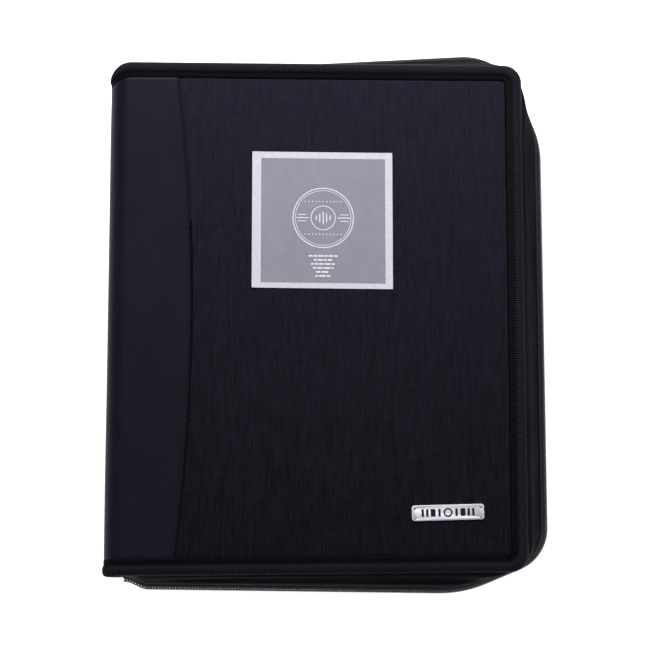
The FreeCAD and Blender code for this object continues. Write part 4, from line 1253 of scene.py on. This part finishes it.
def liningSheets():
    # inside skin of each cover, round the spine to its middle
    left, right = case["crease"], case["fore"] - 2.1
    half = case["half"] - 2.4
    inner = edgeOf("front_hinge_lining", "x", False)
    radius = left - inner
    steps = [("flat", i / 60) for i in range(61)] + [("roll", (i + 1) / 14) for i in range(14)]
    steps += [("side", (i + 1) / 4) for i in range(4)]

    def place(u, v):
        kind, value = steps[round(u * (len(steps) - 1))]
        y = half * (2 * v - 1)
        soft = 0.1 * noise.noise((y / 30, value * 6, 2.2))
        if kind == "flat":
            x = right + (left - right) * value
            near = min(right - x, half - abs(y))
            rolled = 0.35 * math.exp(-(near / lining["hem"]) ** 2)
            return Vector((*cornered(x, y, right, half), case["ceiling"] + 0.1 + soft + rolled))
        if kind == "roll":
            angle = value * math.pi / 2
            reach = radius - lining["thick"] - 0.1 - soft
            return Vector((left - reach * math.sin(angle), y, case["rollLow"] + reach * math.cos(angle)))
        return Vector((inner + lining["thick"] + 0.1, y,
                       case["rollLow"] + (midHeight - case["rollLow"]) * value))

    for side in ("front", "back"):
        bm = flared(surface(len(steps) - 1, 90, place, (right - left + 22, 2 * half), facing=-1,
                            thick=lining["thick"]))
        if side == "back":
            reflect(bm, 2, midHeight)
        stands = [side + "_lining", side + "_hinge_lining"]
        stands += ["spine_lining"] if side == "front" else []
        piece = finishPiece(bm, side + "Lining", finishes["lining"], None, stands, sharp=60)
        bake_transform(piece)


liningSheets()
print("lining made")


# ---- organiser on the inside of the front cover ----

def patch(name, x, y, low, high, body, stands, finish, soft=1.6, steps=(50, 50), hem=0.0,
          puff=0.0, wave=0.05, open=()):
    # a leather patch facing down, its edges rounded over and its middle slightly full
    def place(u, v):
        u, v = pulled(u), pulled(v)
        px, py = x[0] + (x[1] - x[0]) * u, y[0] + (y[1] - y[0]) * v
        gaps = [px - x[0], x[1] - px, py - y[0], y[1] - py]
        near = min(gap for number, gap in enumerate(gaps) if number not in open)
        drop = (high - low) * 0.55 * (1 - smooth(near / soft))
        rise = puff * smooth(near / 14)
        hemmed = hem * math.exp(-((y[1] - py - 2.2) / 1.6) ** 2)
        ripple = wave * noise.noise((px / 24, py / 24, low))
        return Vector((px, py, low + drop - rise - hemmed + ripple))

    bm = surface(*steps, place, (x[1] - x[0], y[1] - y[0]), facing=-1,
                 thick=(high - low) * 0.8, about=Vector((x[0], y[0], high + 50)))
    return finishPiece(bm, name, finish, body, stands, sharp=60)


def boxOf(node):
    low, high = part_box(node)
    return (low.x / mm, high.x / mm), (low.y / mm, high.y / mm), low.z / mm, high.z / mm


def straightRow(start, end, pitch, up):
    way = end - start
    count = max(2, round(way.length / pitch))
    ahead = way.normalized()
    return [(start + way * (i + 0.5) / count, ahead, up) for i in range(count)]


def faceDown(x, y, z):
    return Vector((x, y, z))


def organiser():
    down = Vector((0, 0, -1))
    threads = bmesh.new()

    def sewn(points):
        for first, second in zip(points, points[1:]):
            stitchRow(threads, straightRow(first, second, 3.6, down), (2.7, 0.55), hole=False)

    x, y, low, high = boxOf("zip_pocket_panel")
    panelPiece = patch("pocketPanel", x, y, low, high, "front_cover",
                       ["zip_pocket_panel"], finishes["pocket"], steps=(90, 120))
    inset = 3.0
    sewn([faceDown(x[0] + inset, y[1] - inset, low), faceDown(x[0] + inset, y[0] + inset, low),
          faceDown(x[1] - inset, y[0] + inset, low), faceDown(x[1] - inset, y[1] - inset, low),
          faceDown(x[0] + inset, y[1] - inset, low)])

    x, y, low, high = boxOf("pocket_zip_tape")
    tapePiece = patch("pocketZipTape", x, y, low, high, "front_cover",
                      ["pocket_zip_tape"], finishes["tape"], soft=1.0, steps=(60, 12))
    for rise in (y[0] + 1.6, y[1] - 1.6):
        sewn([faceDown(x[0] + 2, rise, low), faceDown(x[1] - 2, rise, low)])

    x, y, low, high = boxOf("pocket_zip_coil")
    teeth = {"pitch": 1.4, "wire": 0.28, "halfWide": 1.05, "halfTall": 0.5, "sides": 5, "perTurn": 8}
    rows = bmesh.new()
    for number, rise in enumerate((y[0] + 1.65, y[1] - 1.65)):
        def path(distance, rise=rise):
            return (Vector((x[0] + distance, rise, (low + high) / 2)), Vector((0, 1, 0)),
                    Vector((0, 0, 1)))
        mesh = bpy.data.meshes.new("row")
        row = coilTube(path, x[1] - x[0], teeth, math.pi * number)
        row.to_mesh(mesh)
        row.free()
        rows.from_mesh(mesh)
        bpy.data.meshes.remove(mesh)
    finishPiece(rows, "pocketZipCoil", finishes["coil"], "front_cover",
                ["pocket_zip_coil"], sharp=180)

    for number in range(1, 5):
        node = f"card_slot_{number}"
        x, y, low, high = boxOf(node)
        slot = patch(f"cardSlot{number}", x, y, low, high, "front_cover", [node],
                     finishes["pocket"], soft=0.8, steps=(44, 44), hem=0.16, puff=0.06)
        sewn([faceDown(x[0] + 2.5, y[1] - 4.4, low), faceDown(x[1] - 2.5, y[1] - 4.4, low)])
    sewn([faceDown(x[0] + 1.8, y[1] - 3, low), faceDown(x[0] + 1.8, y[0] + 1.8, low),
          faceDown(x[1] - 1.8, y[0] + 1.8, low), faceDown(x[1] - 1.8, y[1] - 3, low)])

    x, y, low, high = boxOf("phone_pocket")
    deep = high - low
    wall = 1.1

    def pouch(u, v):
        u, v = pulled(u), v
        px, py = x[0] + (x[1] - x[0]) * u, y[0] + (y[1] - y[0]) * v
        near = min(px - x[0], x[1] - px, py - y[0])
        side = 1 - (1 - min(1.0, near / 5.0)) ** 2.6
        slump = 0.5 * math.sin(math.pi * u) * smooth((py - y[0]) / 60)
        lip = 0.35 * math.exp(-((y[1] - py - 2.5) / 1.8) ** 2)
        return Vector((px, py, high - (deep - 0.9) * side - slump * 0.6 - lip
                       + 0.12 * noise.noise((px / 22, py / 22, 0.4))))

    bm = surface(64, 60, pouch, (x[1] - x[0] + 2 * deep, y[1] - y[0] + deep), facing=-1,
                 thick=wall, about=Vector((x[0] / 2, y[0], high + 60)))
    pocketPiece = finishPiece(bm, "phonePocket", finishes["pocket"], "front_cover",
                              ["phone_pocket"], sharp=60)
    sewn([faceDown(x[0] + 7, y[1] - 5, low + 0.5), faceDown(x[1] - 7, y[1] - 5, low + 0.5)])

    for number, node in enumerate(("pen_loop_inner", "pen_loop_outer")):
        x, y, low, high = boxOf(node)
        radius = (x[1] - x[0]) / 2
        middle = (x[0] + x[1]) / 2
        side = high - low - radius
        arc = 2 * side + math.pi * radius

        def loop(u, v, x=x, y=y, low=low, high=high, radius=radius, middle=middle, side=side, arc=arc):
            distance = u * arc
            py = y[0] + (y[1] - y[0]) * v
            pinch = 0.25 * math.cos(math.tau * v)
            if distance < side:
                return Vector((middle - radius, py, high - distance))
            if distance > arc - side:
                return Vector((middle + radius, py, high - (arc - distance)))
            angle = (distance - side) / radius
            reach = radius - 0.25 + pinch * math.sin(angle)
            return Vector((middle - reach * math.cos(angle), py,
                           low + radius - reach * math.sin(angle)))

        bm = surface(40, 18, loop, (arc, y[1] - y[0]), thick=1.0,
                     about=Vector((middle, (y[0] + y[1]) / 2, high - side)))
        finishPiece(bm, "penLoopInner" if number == 0 else "penLoopOuter", finishes["elastic"],
                    "front_cover", [node], sharp=60)

    finishPiece(threads, "organiserStitches", finishes["thread"], "front_cover")


organiser()
print("organiser made")


# ---- writing pad ----

pad = {"layers": 12, "ragged": 0.22, "tapeWide": 17.0, "curl": 2.2}


def writingPad():
    chance = random.Random(11)
    x, y, low, high = boxOf("writing_pad")
    bm = bmesh.new()
    middle = Vector(((x[0] + x[1]) / 2, (y[0] + y[1]) / 2, 0))
    layer = (high - 0.3 - low) / pad["layers"]
    for number in range(pad["layers"]):
        shift = Vector((chance.uniform(-1, 1), chance.uniform(-1, 1), 0)) * pad["ragged"]
        bar(bm, middle.x + shift.x, middle.y + min(0, shift.y), x[1] - x[0] - 0.5,
            y[1] - y[0] - 0.5, low + number * layer + 0.01, low + (number + 1) * layer - 0.01)
    edges = [e for e in bm.edges if abs(e.verts[0].co.z - e.verts[1].co.z) > 0.1]
    bmesh.ops.bevel(bm, geom=edges, offset=1.2, offset_type="OFFSET", affect="EDGES", segments=3,
                    profile=0.5, material=-1)
    finishPiece(bm, "padBlock", finishes["leaves"], "back_cover", ["writing_pad"])

    def leaf(u, v):
        px, py = x[0] + 0.3 + (x[1] - x[0] - 0.6) * u, y[0] + 0.3 + (y[1] - y[0] - 1.2) * v
        corner = smooth((u - 0.82) / 0.18) * smooth((0.1 - v) / 0.1)
        swell = 0.12 * noise.noise((px / 60, py / 60, 6.0))
        return Vector((px, py, high - 0.1 + pad["curl"] * corner + max(0.0, swell)))

    bm = surface(40, 56, leaf, (x[1] - x[0], y[1] - y[0]), thick=0.12,
                 about=Vector((middle.x, middle.y, -60)))
    finishPiece(bm, "padTopLeaf", finishes["paper"], "back_cover")

    # cloth strip glued over the head of the block
    strip = [(0.0, 0.0), (0.25, 0.0), (0.5, 0.0), (0.8, 0.0), (0.95, 0.0), (1.0, 0.08), (1.02, 0.25),
             (1.02, 0.6), (1.02, 0.98)]

    def band(u, v):
        index = round(v * (len(strip) - 1))
        along, down = strip[index]
        px = x[0] + 0.1 + (x[1] - x[0] - 0.2) * u
        return Vector((px, y[1] - pad["tapeWide"] * (1 - along) - 0.15,
                       high + 0.25 - (high - low) * down))

    bm = surface(60, len(strip) - 1, band, (x[1] - x[0], 24), thick=0.22,
                 about=Vector((middle.x, middle.y, -60)))
    finishPiece(bm, "padTape", finishes["lining"], "back_cover", sharp=60)

    x, y, low, high = boxOf("pad_sleeve")

    def sleeve(u, v):
        u, v = pulled(u), pulled(v)
        px, py = x[0] + (x[1] - x[0]) * u, y[0] + (y[1] - y[0]) * v
        near = min(px - x[0], x[1] - px, py - y[0])
        rim = smooth(near / 2.6)
        return Vector((px, py, low + 0.45 + (high - low - 0.5) * rim))

    bm = surface(60, 50, sleeve, (x[1] - x[0], y[1] - y[0]), thick=0.4,
                 about=Vector((middle.x, middle.y, -60)))
    piece = finishPiece(bm, "padSleeve", finishes["pocket"], "back_cover",
                        ["pad_sleeve"], sharp=60)


writingPad()
print("pad made")


# ---- CAD nodes that keep their shape ----

keptFinishes = {
    "front_board": "board", "back_board": "board", "spine_board": "board",
    "pad_card_back": "board", "ring_housing": "nickel", "ring_housing_rivets": "nickel",
    "ring_blade_left": "nickel", "ring_blade_right": "nickel", "half_rings_left": "nickel",
    "half_rings_right": "nickel", "nameplate_rivets": "rivet",
}
for node, finish in keptFinishes.items():
    mesh = nodes[node].data
    mesh.materials.clear()
    mesh.materials.append(finishes[finish])
print("CAD nodes finished:", len(keptFinishes))


# ---- floor, light and camera ----

def makeStudio():
    bm = bmesh.new()
    bmesh.ops.create_grid(bm, x_segments=8, y_segments=8, size=9000)
    bmesh.ops.translate(bm, vec=(0, 0, -0.05), verts=bm.verts)
    finishPiece(bm, "studioGround", finishes["floor"])
    world = bpy.data.worlds.new("studioWorld")
    bpy.context.scene.world = world
    world.use_nodes = True
    sky = world.node_tree.nodes["Background"]
    sky.inputs["Color"].default_value = srgb("f7f7fb")
    sky.inputs["Strength"].default_value = studio["world"]
    for name in ("key", "left", "right", "near", "overhead"):
        power, place, size = studio[name]
        light = bpy.data.lights.new(name + "Softbox", "AREA")
        light.shape = "DISK"
        light.size = size
        light.energy = power
        lamp = bpy.data.objects.new(name + "Softbox", light)
        lamp.location = place
        lamp.rotation_euler = (-Vector(lamp.location)).to_track_quat("-Z", "Y").to_euler()
        bpy.context.scene.collection.objects.link(lamp)


view = {"target": (-2.2, -7.9, 42.0), "distance": 1240.0, "tilt": 8.5, "focal": 103.1}


def makeCamera():
    lens = bpy.data.cameras.new("studioCamera")
    lens.lens = view["focal"]
    lens.sensor_width = 36.0
    lens.clip_start, lens.clip_end = 0.05, 20
    camera = bpy.data.objects.new("studioCamera", lens)
    target = Vector(view["target"]) * mm
    tilt = math.radians(view["tilt"])
    back = Vector((0, -math.sin(tilt), math.cos(tilt)))
    camera.location = target + back * view["distance"] * mm
    camera.rotation_euler = (-back).to_track_quat("-Z", "Y").to_euler()
    bpy.context.scene.collection.objects.link(camera)
    bpy.context.scene.camera = camera


makeStudio()
makeCamera()
bpy.context.scene.view_settings.view_transform = "Standard"
print("studio made")
